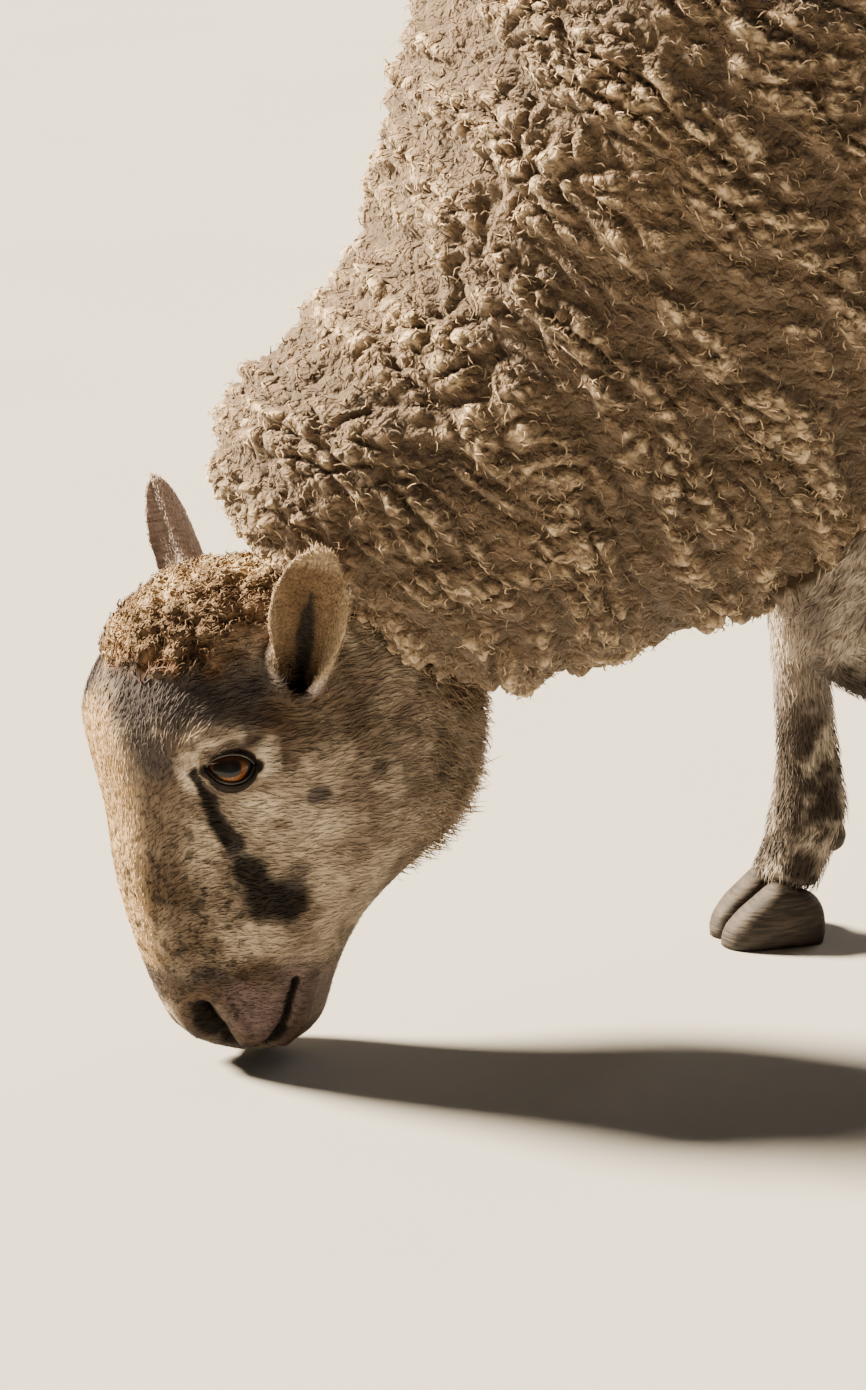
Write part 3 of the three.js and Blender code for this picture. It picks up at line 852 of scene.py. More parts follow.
class Surface:
    """Meshes as arrays, for tufts to stand on; fields names the values that each tuft takes from its root."""

    def __init__(self, meshes):
        points, normals, triangles, count = [], [], [], 0
        for mesh in meshes:
            mesh.calc_loop_triangles()
            triangles.append(array_of(mesh.loop_triangles, "vertices", 3, np.int32) + count)
            points.append(points_of(mesh))
            normals.append(normals_of(mesh))
            count += len(mesh.vertices)
        self.points, self.normals = np.concatenate(points), np.concatenate(normals)
        self.triangles = np.concatenate(triangles)
        self.fields = ()

    def set_lie(self, lie):
        self.lie = flattened(lie, self.normals)

    def plant(self, share, kind, closer=0.0):
        """Places for tufts of a kind; share and closer say how many and how much closer, at each point."""
        spacing = (kind["spacing"] - closer) * np.full(len(self.points), MM)
        at_most, random = kind["at_most"], np.random.default_rng(kind["seed"])
        corners = self.points[self.triangles]
        sides = corners[:, 1:] - corners[:, :1]
        area = np.linalg.norm(np.cross(sides[:, 0], sides[:, 1]), axis=1) / 2
        want = area * share[self.triangles].mean(axis=1) / spacing[self.triangles].mean(axis=1) ** 2
        count = int(want.sum() * TRIES)
        chosen = np.searchsorted(np.cumsum(want / want.sum()), random.random(count)).clip(0, len(want) - 1)
        first, second = random.random((2, count))
        over = first + second > 1
        first[over], second[over] = 1 - first[over], 1 - second[over]
        weights = np.stack([1 - first - second, first, second], axis=1)
        corner = self.triangles[chosen]
        places = np.einsum("nk,nkd->nd", weights, self.points[corner])
        room = (weights * spacing[corner]).sum(axis=1) * CLOSEST
        tree = tree_with(places)
        free, kept = np.ones(count, bool), []
        for k in range(count):
            if free[k]:
                kept.append(k)
                for _, other, _ in tree.find_range(places[k], room[k]):
                    free[other] = False
        kept = np.array(kept)
        if len(kept) > at_most:
            kept = np.sort(random.permutation(kept)[:at_most])
        return Roots(self, corner[kept], weights[kept], kind)


class Ground(Surface):
    """The skin, with what grows at each of its points."""

    def __init__(self, skin, outline, bare_places):
        super().__init__([skin.data])
        local = to_head(self.points)
        coat = Coat(self.points)
        cover = -outside_of(outline, self.points)
        ball_middle, ball_radius = HEAD_BALL
        near_head = np.linalg.norm(local - ball_middle, axis=1) < ball_radius
        off_head = np.full(len(local), 1.0)
        off_head[near_head] = outside_of(tree_of("head"), self.points[near_head])
        self.part = coat.part.copy()
        self.ear = np.zeros(len(local))
        lie = coat.lie
        by_eye = np.linalg.norm(local - (EYES_MIDDLE / MM), axis=1) < FACE_BALL
        head = (off_head < HEAD_REACH) | (by_eye & (local[:, 0] < FACE_REAR) & (local[:, 2] < FACE_TOP))
        lie[head] = head_lie(local[head])
        self.part[head] = HEAD_PART
        for k, node in enumerate(EARS):
            root, tip = ear_bones(node)
            by_ear = np.linalg.norm(self.points - (root + tip) / 2, axis=1) < EAR_BALL
            near = np.nonzero(near_head & by_ear)[0]
            close = np.abs(outside_of(tree_of(node), self.points[near]))
            share = rise(close, *EAR_REACH) * rise(off_head[near], 0.0, HEAD_REACH)
            self.ear[near] = np.maximum(self.ear[near], share)
            lie[near] += share[:, None] * (unit(tip - root) - lie[near])
            self.part[near[share > 0.5]] = FIRST_EAR_PART + k
        self.wool = rise(cover, *WOOL_BEGINS) * (1 - self.ear)
        self.topknot = topknot_share(local) * head * (1 - self.ear) * (1 - self.wool)
        self.leg = coat.leg * (self.part < HEAD_PART)
        self.bare = np.zeros(len(local))
        front = np.nonzero(head & (local[:, 0] < NECK_BEGINS))[0]
        self.bare[front] = bare_places[1][nearest(bare_places[0], self.points[front])]
        self.face = head * (1 - self.wool) * (1 - self.ear)
        self.set_lie(lie)
        self.fields = ("leg", "ear", "topknot", "bare")


class Roots:
    """Where tufts stand on the skin, and what the skin is like there."""

    def __init__(self, ground, corner, weights, kind):
        def mean(values):
            return np.einsum("nk,nk...->n...", weights, values[corner])

        self.kind, self.random = kind, np.random.default_rng(kind["seed"] + 1)
        self.points = mean(ground.points)
        self.normals = unit(mean(ground.normals))
        lie = mean(ground.lie)
        self.lie = flattened(lie, self.normals)
        self.part = ground.part[corner[:, 0]]
        self.fields = ground.fields
        for field in self.fields:
            setattr(self, field, mean(getattr(ground, field)))
        self.count = len(self.points)

    def spread(self, low, high):
        return self.random.uniform(low, high, self.count)

    def lengths(self, key, size=1.0):
        """A length in metres for each tuft, to multiply by steps along it."""
        return (self.spread(*self.kind[key]) * size * MM)[:, None, None]

    def widths(self, size=1.0):
        return (self.spread(*self.kind["wide"]) * size * MM)[:, None] * self.kind["taper"]

    def coil(self, along):
        """The angle of a curl at steps along it."""
        start = self.spread(0, math.tau)[:, None, None]
        return start + math.tau * self.spread(*self.kind["turns"])[:, None, None] * along

    def turn_lie(self, more=0.0):
        """Turns the lie about the normal by random degrees, and by more degrees."""
        angle = np.radians(self.random.normal(0, self.kind["askew"], self.count) + more)
        side = np.cross(self.normals, self.lie)
        self.lie = np.cos(angle)[:, None] * self.lie + np.sin(angle)[:, None] * side
        self.side = np.cross(self.normals, self.lie)

    def rising(self, up, run, way):
        """Centre lines that rise from the roots by up, and run some way over the skin."""
        return self.points[:, None] + up * self.normals[:, None] + run * way[:, None]

    def curled(self, lines, curl, phase, over):
        """Centre lines wound sideways and over."""
        return lines + curl * (np.cos(phase) * self.side[:, None] + np.sin(phase) * over[:, None])

    def keep(self, chosen):
        part = Roots.__new__(Roots)
        part.fields = self.fields
        for key, value in self.__dict__.items():
            if isinstance(value, np.ndarray):
                setattr(part, key, value[chosen])
        return part


# Down an ear's hollow: how far along, and half the width of the slit, painted near-black as shade, in
# millimetres.
EAR_SLIT = [(-0.12, 2.0), (0.08, 4.2), (0.30, 5.2), (0.50, 3.8), (0.68, 0.5)]
SLIT_SOFT, SHADE_WIDTH, SHADE = 1.2, 7, 0.35  # the slit's soft edge, and the weaker shade beside it
FAR_EAR = {"hollow": 0.2, "rim": 0.15, "edge": 0.45}  # the right ear shows these shares, and a dark edge
# Where each fades: millimetres inside the ear's roll, and shares of the ear's length.
EAR_ROOT, ROOT_INSIDE, ROOT_ALONG = (-0.3, 0.8), (0.2, 1.6), (0.45, 0.30)
HOLLOW_INSIDE, SLIT_INSIDE = (-0.8, 0.8), (-0.5, 0.8)
SLIT_SIDE, SLIT_WANDER, SLIT_WANDER_SEED = 1.0, 0.005, 17  # off the middle, and the noise that bends it
RIM_ROUND, RIM_TIP, RIM_ALONG, FAR_EDGE_ALONG = (0.5, 0.92), (0.8, 0.95), (0.1, 0.25), (0.9, 0.8)


def hollow_of_ears(ground):
    """1 on the hollow side of an ear, 1 in the slit down its middle, painted near-black as shade, and 1 on
    its rim.
    """
    hollow, slit, rim = (np.zeros(len(ground.points)) for _ in range(3))
    for k, node in enumerate(EARS):
        share, turn, inside = in_ear(ground.points, node)
        of_ear = ground.part == FIRST_EAR_PART + k
        by_ear = (ground.part >= HEAD_PART) & (share > EAR_ROOT[0]) & (share < EAR_ROOT[1])
        root = by_ear * rise(inside, *ROOT_INSIDE) * rise(share, *ROOT_ALONG)
        ground.ear = np.maximum(ground.ear, root)
        seen = FAR_EAR["hollow"] if k else 1
        hollow = np.where(of_ear, rise(inside, *HOLLOW_INSIDE) * seen, hollow)
        hollow = np.maximum(hollow, root)
        half_turn = half_turn_of_ear(share)
        sideways = np.sin(turn) * (EAR_WIDTH / 2 / half_turn - inside)
        wide = np.interp(share, *zip(*EAR_SLIT), left=0.0, right=0.0)
        off_middle = np.abs(sideways - SLIT_SIDE) + cloud(ground.points, SLIT_WANDER, SLIT_WANDER_SEED)
        dark = rise(off_middle, wide + SLIT_SOFT, wide - SLIT_SOFT)
        dark = np.maximum(dark, SHADE * rise(off_middle, wide + SHADE_WIDTH, wide))
        slit = np.maximum(slit, by_ear * (wide > 0) * dark * rise(inside, *SLIT_INSIDE))
        edge = np.maximum(rise(np.abs(turn) / half_turn, *RIM_ROUND), rise(share, *RIM_TIP))
        edge = edge * rise(share, *RIM_ALONG)
        rim = np.where(of_ear, edge * (FAR_EAR["rim"] if k else 1), rim)
        if k:
            slit = np.maximum(slit, FAR_EAR["edge"] * of_ear * edge * rise(share, *FAR_EDGE_ALONG))
    return hollow, slit, rim


TOPKNOT_EDGE, TOPKNOT_SIDES = (203, 216), (52, 40)  # its lower edge over the lips, and how wide it is
EDGE_DROPS, EDGE_LIFTS = 0.25, 0.12  # how far that edge drops to the rear and lifts to the sides
SHOULDER, NECK_BASE, RUMP_HEIGHT = (0.2, 0, 0.5), (-0.12, 0, 0.5), 0.55
HEAD_BONE = [(0, 0, 0), (10, 0, 250)]


def topknot_share(local):
    """Curly wool between the ears and down to the brow."""
    x, y, z = local.T
    return rise(z + EDGE_DROPS * x - EDGE_LIFTS * np.abs(y), *TOPKNOT_EDGE) * rise(np.abs(y), *TOPKNOT_SIDES)


def unwrapped_places(points, part):
    """Each point's place on the coats' map: round the part that it belongs to, and along it."""
    places = np.zeros((len(points), 2))
    rump = (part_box("tail")[1].x, 0, RUMP_HEIGHT)
    for index, (name, (left, bottom, width, height)) in enumerate(UNWRAP.items()):
        of_part = part == index
        if not of_part.any():
            continue
        if name == "torso":
            line = np.array([rump, SHOULDER, NECK_BASE, from_head(POLL)])
        elif name == "head":
            line = from_head(HEAD_BONE)
        elif name in EARS:
            line = np.array(ear_bones(name))
        else:
            line = bones(name)
        _, down, way = along_bones(points[of_part], line)
        share = (down / (len(line) - 1)).clip(0, 1)
        start = line[np.floor(down).astype(int).clip(0, len(line) - 2)]
        offset = points[of_part] - start
        side = unit(np.cross(way, [0.0, 0.0, 1.0] if name == "torso" else [0.0, 1.0, 0.0]))
        angle = np.arctan2(np.sum(offset * np.cross(way, side), axis=1), np.sum(offset * side, axis=1))
        used = 1 - 2 * MAP_MARGIN
        places[of_part, 0] = left + width * (MAP_MARGIN + used * (angle / math.tau + 0.5))
        places[of_part, 1] = bottom + height * (MAP_MARGIN + used * share)
    return places


def faces_of_tube(sides, rings):
    """The corners of a tube's faces in one row, and how many each face has: sides, then tip, then root."""
    ring = np.arange(sides)
    after = (ring + 1) % sides
    quad = np.stack([ring, after, sides + after, sides + ring], axis=1)
    quads = [sides * k + quad for k in range(rings - 1)]
    last = sides * (rings - 1)
    tips = np.stack([last + ring, last + after, np.full(sides, sides * rings)], axis=1)
    corners = np.concatenate([np.concatenate(quads).ravel(), tips.ravel(), ring[::-1]])
    return corners, np.concatenate([np.full(sides * (rings - 1), 4), np.full(sides, 3), [sides]])


def strands(name, roots, lines, widths, material, flat=1.0):
    """Closed tapering tubes round centre lines, of strands x rings x 3; each line ends in its tip."""
    count, rings = lines.shape[0], lines.shape[1] - 1
    ahead = unit(np.gradient(lines, axis=1))
    across = roots.side[:, None] - ahead * np.sum(roots.side[:, None] * ahead, axis=2, keepdims=True)
    across = unit(across)
    over = np.cross(ahead, across)
    turn = (np.arange(SIDES) * math.tau / SIDES)[:, None]
    circle = np.cos(turn) * across[:, :-1, None] + flat * np.sin(turn) * over[:, :-1, None]
    tubes = lines[:, :-1, None] + widths[:, :, None, None] * circle
    points = np.concatenate([tubes.reshape(count, -1, 3), lines[:, -1:]], axis=1)
    each = points.shape[1]
    corners, sizes = faces_of_tube(SIDES, rings)
    loops = (corners + each * np.arange(count)[:, None]).ravel()
    starts = np.concatenate([[0], np.cumsum(np.tile(sizes, count))[:-1]])
    mesh = bpy.data.meshes.new(name)
    mesh.vertices.add(count * each)
    mesh.loops.add(len(loops))
    mesh.polygons.add(len(starts))
    mesh.vertices.foreach_set("co", points.astype(np.float32).ravel())
    mesh.loops.foreach_set("vertex_index", loops.astype(np.int32))
    mesh.polygons.foreach_set("loop_start", starts.astype(np.int32))
    mesh.update(calc_edges=True)
    along = np.append(np.repeat(np.arange(rings) / rings, SIDES), 1.0)
    round_it = np.append(np.tile(np.arange(SIDES) / SIDES, rings), 0.5)
    patch = np.stack([round_it, along], axis=1) * PATCH
    flat_map = (unwrapped_places(roots.points, roots.part)[:, None] + patch[None]).reshape(-1, 2)
    lay_on_map(mesh, flat_map[loops])
    mark(mesh, "along", np.tile(along, count))
    mark(mesh, "tone", np.repeat(roots.tone, each))
    for field in roots.fields:
        mark(mesh, field, np.repeat(getattr(roots, field), each))
    dress(mesh, material)
    thing = object_of(name, mesh)
    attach(thing, "root")


def lay_on_map(mesh, places):
    layer = mesh.uv_layers.new(name="OFBake")
    layer.data.foreach_set("uv", places.astype(np.float32).ravel())


def mark(mesh, name, values):
    layer = mesh.attributes.new(name, "FLOAT", "POINT")
    layer.data.foreach_set("value", np.asarray(values, np.float32))


# ---- Fleece -------------------------------------------------------------------------------------

FOLD_LENGTH = 58 * MM  # from one big fold round the neck to the next
FOLDS_BEGIN, FOLDS_END = (0.05, 0.12), (0.70, 0.42)  # metres from the poll
WARP, SIDE_WARP = (0.085, 3), (0.04, 4)  # size and seed of the noise that bends folds and ropes
ROPE = np.array([15, 46, 46]) * MM  # width and length of the ropes of wool that lie round neck and body
BREAK = np.array([26, 17, 17]) * MM
LUMP = np.array([11, 14, 14]) * MM
FOLD_BEND, RUNG_BEND, SIDE_BEND, BREAK_BEND = 0.017, 0.010, 0.003, 0.004  # metres
ROPE_EDGE, BREAK_EDGE = 0.13, 0.10  # how wide the grooves between ropes and at their breaks are, of the noise
LUMP_SIZES = ((1.0, 1.0), (0.52, 0.5))  # of LUMP, and of LUMP_DROP
LUMP_BEND, LUMP_BEND_SIZE = 0.0035, 0.009
# The gap edge bounds the painted shade in the gaps round each lump.
CREASE_EDGE, CREASE_DROP, GAP_EDGE = 0.16, 0.7, (0.35, 0.8)  # of a lump's width, of LUMP_DROP, of its width
BED_DEPTH = 3.2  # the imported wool's top lies this far under the coat's outline, millimetres
FOLD_DROP, ROPE_DROP, BREAK_DROP, LUMP_DROP = 11.0, 11.0, 7.5, 3.4
DEEPEST, DEEPENING = 17.0, 1.15
COLLAR = 0.009  # how much fuller the wool is just behind the head
COLLAR_REAR, COLLAR_TOP = (165, 105), (232, 200)  # in the head's own frame
THROAT, THROAT_REACH, THROAT_HANG = np.array((-0.335, 0.0, 0.215)), 0.055, 0.016
BED_CUT, BED_MARGIN = -0.02, 0.02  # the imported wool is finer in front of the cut
BED_HIDDEN = 0.011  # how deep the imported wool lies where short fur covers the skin
BED_EVEN, BED_EVEN_REACH = ((0.3, 0.5, 10),), 0.11
COAT_THINS, LOCKS_BEGIN = (0.012, 0.005), (0.007, 0.012)  # depths of the coat, in metres
THROAT_FACING = (0.35, -0.35)  # the throat's wool hangs where the surface turns down
WOOL_HANGS = np.array((0.12, 0, -0.12))
SEAM = 0.1  # a face wider than this on the coats' map lies across its seam
FRONT_BED, REAR_BED = (0.0024, 190000), (0.0031, 130000)  # voxel in metres, and triangles
PIECE_TRIANGLES = 190000


def wool_drop(points):
    """How far packed wool lies below its highest level at each place, in millimetres, and how much shade is
    painted in its creases and gaps.
    """
    reach = np.linalg.norm(points - from_head(POLL), axis=1)
    warp, side_warp = cloud(points, *WARP), cloud(points, *SIDE_WARP)
    fold = (0.5 + 0.5 * np.cos(math.tau * (reach + FOLD_BEND * warp) / FOLD_LENGTH)) ** 3
    fold = fold * rise(reach, *FOLDS_BEGIN) * rise(reach, *FOLDS_END) * (0.75 + 0.5 * side_warp)
    rung = np.stack([reach + RUNG_BEND * warp + SIDE_BEND * side_warp, points[:, 1], points[:, 2]], axis=1)
    rope = np.exp(-(wave_noise(rung, ROPE, 1) / ROPE_EDGE) ** 2)
    gap = np.exp(-(wave_noise(rung + BREAK_BEND * side_warp[:, None], BREAK, 2) / BREAK_EDGE) ** 2)
    drop = FOLD_DROP * fold + ROPE_DROP * rope + BREAK_DROP * gap
    crease_shade = np.zeros(len(points))
    for size, strength in LUMP_SIZES:
        bent = rung + LUMP_BEND * size * cloud_of_three(points, LUMP_BEND_SIZE * size)
        first, second = nearest_cells(bent / (LUMP * size)).T
        crease = rise(second - first, CREASE_EDGE, 0.0)
        drop += LUMP_DROP * strength * ((first / CELL_EDGE).clip(0, 1) ** 2 + CREASE_DROP * crease)
        # Painted shade goes into the creases between lumps and the gaps round them.
        crease_shade = np.maximum(crease_shade, (0.4 + 0.6 * strength) * np.maximum(crease, rise(first, *GAP_EDGE)))
    return DEEPEST * (1 - np.exp(-drop / DEEPEST * DEEPENING)), crease_shade


def wool_flow(points, normals):
    """Wool lies in rings round the neck and barrel, and hangs down."""
    flow = np.cross(unit(points - from_head(POLL)), normals)
    return unit(flow * np.where(flow[:, 2:] > 0, -1, 1) + WOOL_HANGS)


def cut_off(shape, place, front):
    """Takes away what lies behind a place along X, or in front of it if it isn't the front that stays."""
    everything = shape.verts[:] + shape.edges[:] + shape.faces[:]
    bmesh.ops.bisect_plane(shape, geom=everything, plane_co=(place, 0, 0), plane_no=(1, 0, 0),
                           clear_outer=front, clear_inner=not front)


def make_bed(name, front, voxel, triangles, material):
    """A closed piece of packed wool with its folds, in front of BED_CUT or behind it."""
    thing = fused(name, BODY_NODES, voxel)
    mesh = thing.data
    whole = editable(mesh)
    cut_off(whole, BED_CUT + BED_MARGIN if front else BED_CUT - BED_MARGIN, front)
    settle(whole, mesh)
    points, edges = points_of(mesh), edges_of(mesh)
    passes = (*BED_EVEN, (0.0, 0.8, int(BED_EVEN_REACH / voxel)))
    points = evened_by_wool(points, edges, Coat(points).wool, passes)
    move_points(mesh, points)
    drop, crease_shade = wool_drop(points)
    hidden = rise(Coat(points).depth, *COAT_THINS)
    depth = (BED_DEPTH + drop) * MM * (1 - hidden) + hidden * BED_HIDDEN
    normals = normals_of(mesh)
    local = to_head(points)
    collar = rise(local[:, 0], *COLLAR_REAR) * rise(local[:, 2], *COLLAR_TOP)
    low = np.exp(-(np.linalg.norm(points - THROAT, axis=1) / THROAT_REACH) ** 2)
    low = low * rise(normals[:, 2], *THROAT_FACING)
    points = points - normals * (depth - collar * COLLAR)[:, None]
    points[:, 2] -= low * THROAT_HANG
    move_points(mesh, points)
    mark(mesh, "relief", 1 - drop / DEEPEST)
    # Marks where shade is painted into the creases.
    mark(mesh, "crease", crease_shade)
    whole = editable(mesh)
    cut_off(whole, BED_CUT, front)
    bmesh.ops.holes_fill(whole, edges=[edge for edge in whole.edges if edge.is_boundary])
    settle(whole, mesh)
    thin = thing.modifiers.new("thin", "DECIMATE")
    thin.ratio = triangles / (2 * len(mesh.polygons))
    dress(apply_modifiers(thing), material)
    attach(thing, "root")
    return thing


def lay_out(thing, part):
    """The coats' map for a closed surface: each face round and along the part it covers."""
    mesh = thing.data
    places = unwrapped_places(points_of(mesh), part)
    flat = places[array_of(mesh.loops, "vertex_index", 1, np.int32)[:, 0]]
    starts, totals = (array_of(mesh.polygons, key, 1, np.int32)[:, 0] for key in ("loop_start", "loop_total"))
    face = np.repeat(np.arange(len(starts)), totals)
    highest = np.maximum.reduceat(flat[:, 0], starts)[face]
    flat[:, 0] = np.where(highest - flat[:, 0] > SEAM, highest, flat[:, 0])
    lay_on_map(mesh, flat)


def make_fleece(material, bed_material):
    front = make_bed("fleece_bed_front", True, *FRONT_BED, bed_material)
    rear = make_bed("fleece_bed_rear", False, *REAR_BED, bed_material)
    bed = Surface([front.data, rear.data])
    relief = [array_of(thing.data.attributes["relief"].data, "value", 1) for thing in (front, rear)]
    bed.relief = np.concatenate(relief)[:, 0]
    coat = Coat(bed.points)
    bed.part = coat.part
    for thing, part in zip((front, rear), np.split(coat.part, [len(front.data.vertices)])):
        lay_out(thing, part)
    bed.set_lie(wool_flow(bed.points, bed.normals))
    bed.fields = ("relief",)
    seen = rise(coat.depth, *LOCKS_BEGIN)
    make_locks(bed, seen, material)
    make_halo(bed, seen, material)


# Tufts: millimetres from least to most, the turns of a curl, and how the width changes from ring to ring.
LOCKS = {"seed": 11, "at_most": 25000, "spacing": 6.0, "askew": 38, "up": (0.8, 2.6), "run": (3.5, 8.0),
         "turns": (0.6, 1.1), "curl": (0.7, 1.7), "wide": (0.24, 0.48), "taper": (1.0, 1.2, 1.05, 0.7)}
HALO = {"seed": 14, "at_most": 4500, "spacing": 12, "askew": 70, "up": (3, 8), "run": (2, 9), "bend": 2.5,
        "wide": 0.13, "taper": (1.2, 1.0, 0.7)}
THROAT_WOOL = {"seed": 35, "at_most": 3600, "spacing": 2.6, "askew": 30, "up": (1.5, 6), "run": (6, 17),
               "turns": (0.5, 1.1), "curl": (0.8, 2.4), "wide": (0.22, 0.42), "taper": (1.1, 1.0, 0.8, 0.5)}
TOPKNOT = {"seed": 31, "at_most": 3300, "spacing": 2.4, "askew": 55, "up": (0.8, 3.4), "run": (2, 6),
           "turns": (0.8, 1.5), "curl": (0.8, 2.0), "wide": (0.45, 0.85), "taper": (1.3, 1.1, 0.9, 0.7, 0.5)}
NECK_CLOSER = 1.8  # how much closer together the locks are on the neck, millimetres
NECK_ENDS, REAR_SIZE = (-0.10, 0.10), 1.4  # metres along X; rear locks are this many times larger
SIDES = 3  # of every tuft
ROOT_SUNK, CURL_SUNK = 0.0003, 0.0005  # how far roots go into the skin, metres
LOCKS_IN_FOLDS = 0.25  # how many locks grow at the bottom of a fold, of those on the ropes
LOCK_TONE = (0.3, 1.15, -0.25)  # how pale a lock is: by chance, by how high it stands (painted shade on locks low in the folds), and to begin with
THROAT_LIE = (0.25, 0, -0.7)
THROAT_REAR, THROAT_TOP, THROAT_GROWS = (72, 100), (85, 125), (70, 110)  # millimetres from the lips
BROW_TOP, BROW_REAR, BROW_LONGER = (240, 222), (-5, -30), 1.3
TOPKNOT_SWIRL, TOPKNOT_SWIRL_SIZE, TOPKNOT_SWIRL_SEED = 60, 0.015, 9  # degrees, and metres


def steps(taper):
    """Places along a strand from its root to its tip, which comes after the last ring."""
    return np.linspace(0, 1, len(taper) + 1)[None, :, None]


def make_locks(bed, seen, material):
    """Short curled ends of wool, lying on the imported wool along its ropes."""
    closer = NECK_CLOSER * rise(bed.points[:, 0], *reversed(NECK_ENDS))
    many = LOCKS_IN_FOLDS + (1 - LOCKS_IN_FOLDS) * bed.relief.clip(0, 1)
    roots = bed.plant(seen * many, LOCKS, closer)
    roots.turn_lie()
    by_chance, lit_by_height, first = LOCK_TONE
    # Locks low in the folds get a darker tone: painted shade.
    roots.tone = np.clip(by_chance * roots.spread(0, 1) + lit_by_height * roots.relief + first, 0, 1)
    along = steps(LOCKS["taper"])
    size = np.interp(roots.points[:, 0], NECK_ENDS, [1.0, REAR_SIZE])
    up = roots.lengths("up", size) * np.sin(along * math.pi * 0.75) - ROOT_SUNK
    run = roots.lengths("run", size) * along
    phase = roots.coil(along)
    curl = roots.lengths("curl", size) * along ** 0.5
    lines = roots.rising(up, run, roots.lie)
    lines = roots.curled(lines, curl, phase, 0.7 * roots.lie - 0.5 * roots.normals)
    in_pieces("fleece_locks", roots, lines, roots.widths(size), material)


def make_halo(bed, seen, material):
    """Single fine fibres that stand out of the fleece."""
    roots = bed.plant(seen * bed.relief.clip(0, 1) ** 2, HALO)
    roots.turn_lie()
    roots.tone = roots.spread(0.7, 1)
    along = steps(HALO["taper"])
    up = roots.lengths("up") * along
    run = roots.lengths("run") * along ** 2
    bend = (roots.random.normal(0, HALO["bend"], roots.count) * MM)[:, None, None] * np.sin(along * math.pi)
    lines = roots.rising(up, run, roots.lie) + bend * roots.side[:, None]
    widths = np.full((roots.count, 1), HALO["wide"] * MM) * HALO["taper"]
    in_pieces("fleece_halo", roots, lines, widths, material)


def in_pieces(name, roots, lines, widths, material):
    """Strands split into pieces from front to rear, each under PIECE_TRIANGLES."""
    rings = lines.shape[1] - 1
    round_side, tip, root = 2 * SIDES * (rings - 1), SIDES, SIDES - 2
    pieces = math.ceil(roots.count * (round_side + tip + root) / PIECE_TRIANGLES)
    order = np.argsort(roots.points[:, 0])
    for k, part in enumerate(np.array_split(order, pieces)):
        chosen = np.zeros(roots.count, bool)
        chosen[part] = True
        strands(f"{name}_{k + 1}", roots.keep(chosen), lines[chosen], widths[chosen], material)


# ---- Short fur ----------------------------------------------------------------------------------


# Short fur: seed, how many hairs at most, and how far apart in millimetres.
FACE_FUR, EAR_FUR, LEG_FUR = (
    {"seed": seed, "at_most": at_most, "spacing": spacing, "askew": 12, "taper": (0.75, 1.0)}
    for seed, at_most, spacing in ((21, 19500, 1.85), (22, 7500, 1.25), (23, 14500, 2.5))
)
MUZZLE_CLOSER, FUR_FLAT, FUR_BEND = 0.3, 0.45, 0.12
FUR_SWIRL, FUR_SWIRL_SIZE = 24, 0.02  # degrees and metres
FINE_HAIR = ([20, 90], [0.62, 1.0])  # hair is finer near the lips: heights, and shares of the width
FINE_HAIR_REAR = 130
FACE_BARE, EAR_BARE, MUZZLE = (0.75, 0.4), (0.6, 0.2), (75, 25)  # how bare skin is, and heights over the lips
# Hair on the face: at these heights over the lips, how long it is and how high its tips stand, millimetres.
FACE_LENGTH = ([0, 40, 80, 160, 220], [2.6, 3.6, 5.5, 7.0, 8.0])
FACE_STAND = ([0, 60, 200], [0.45, 0.8, 1.2])
JAW_LONGER, JAW_HIGHER = (5, (70, 120)), (3.0, (75, 125))  # by how much, and between which places
FACE_WIDTH = 0.38
EAR_HAIR, RIM_HAIR, LEG_HAIR = (3.2, 0.7, 0.3), (2.2, 1.2), (11.0, 2.2, 0.43)  # length, stand and width


def short_fur(name, ground, share, kind, closer, form, material):
    """Short hair that lies down; form gives how long, how high at its tip and how wide it is."""
    roots = ground.plant(share, kind, closer)
    roots.tone = roots.spread(0, 1)
    local = to_head(roots.points)
    length, stand, width = form(roots, local)
    long = length * roots.spread(0.7, 1.25) * MM
    high = stand * roots.spread(0.6, 1.3) * MM
    roots.turn_lie(FUR_SWIRL * cloud(roots.points, FUR_SWIRL_SIZE, kind["seed"]))
    along = steps(kind["taper"])
    up = high[:, None, None] * (1 - (1 - along) ** 1.7) - ROOT_SUNK
    lines = roots.rising(up, long[:, None, None] * along, roots.lie)
    bend = (roots.spread(-1, 1) * FUR_BEND * long)[:, None, None] * along ** 2
    lines = lines + bend * roots.side[:, None]
    finer = np.where(local[:, 0] < FINE_HAIR_REAR, np.interp(local[:, 2], *FINE_HAIR), 1.0)
    widths = (width * finer * roots.spread(0.75, 1.2) * MM)[:, None] * kind["taper"]
    strands(name, roots, lines, widths, material, flat=FUR_FLAT)


def face_form(roots, local):
    """The hair gets longer from the lips up, and longer still and more upright on jaw and throat."""
    length, stand = (np.interp(local[:, 2], *table) for table in (FACE_LENGTH, FACE_STAND))
    longer, higher = (most * rise(local[:, 0], *where) for most, where in (JAW_LONGER, JAW_HIGHER))
    return length + longer, stand + higher, FACE_WIDTH


def ear_form(roots, local):
    length, stand, width = EAR_HAIR
    return length + RIM_HAIR[0] * roots.ear_rim, stand + RIM_HAIR[1] * roots.ear_rim, width


def leg_form(roots, local):
    return LEG_HAIR


def make_short_fur(ground, material):
    face = ground.face * rise(ground.bare, *FACE_BARE) * (1 - 0.8 * ground.topknot)
    closer = MUZZLE_CLOSER * rise(to_head(ground.points)[:, 2], *MUZZLE)
    short_fur("face_fur", ground, face, FACE_FUR, closer, face_form, material)
    ear = ground.ear * rise(ground.bare, *EAR_BARE)
    short_fur("ear_fur", ground, ear, EAR_FUR, 0, ear_form, material)
    leg = ground.leg * (1 - ground.wool)
    short_fur("leg_fur", ground, leg, LEG_FUR, 0, leg_form, material)


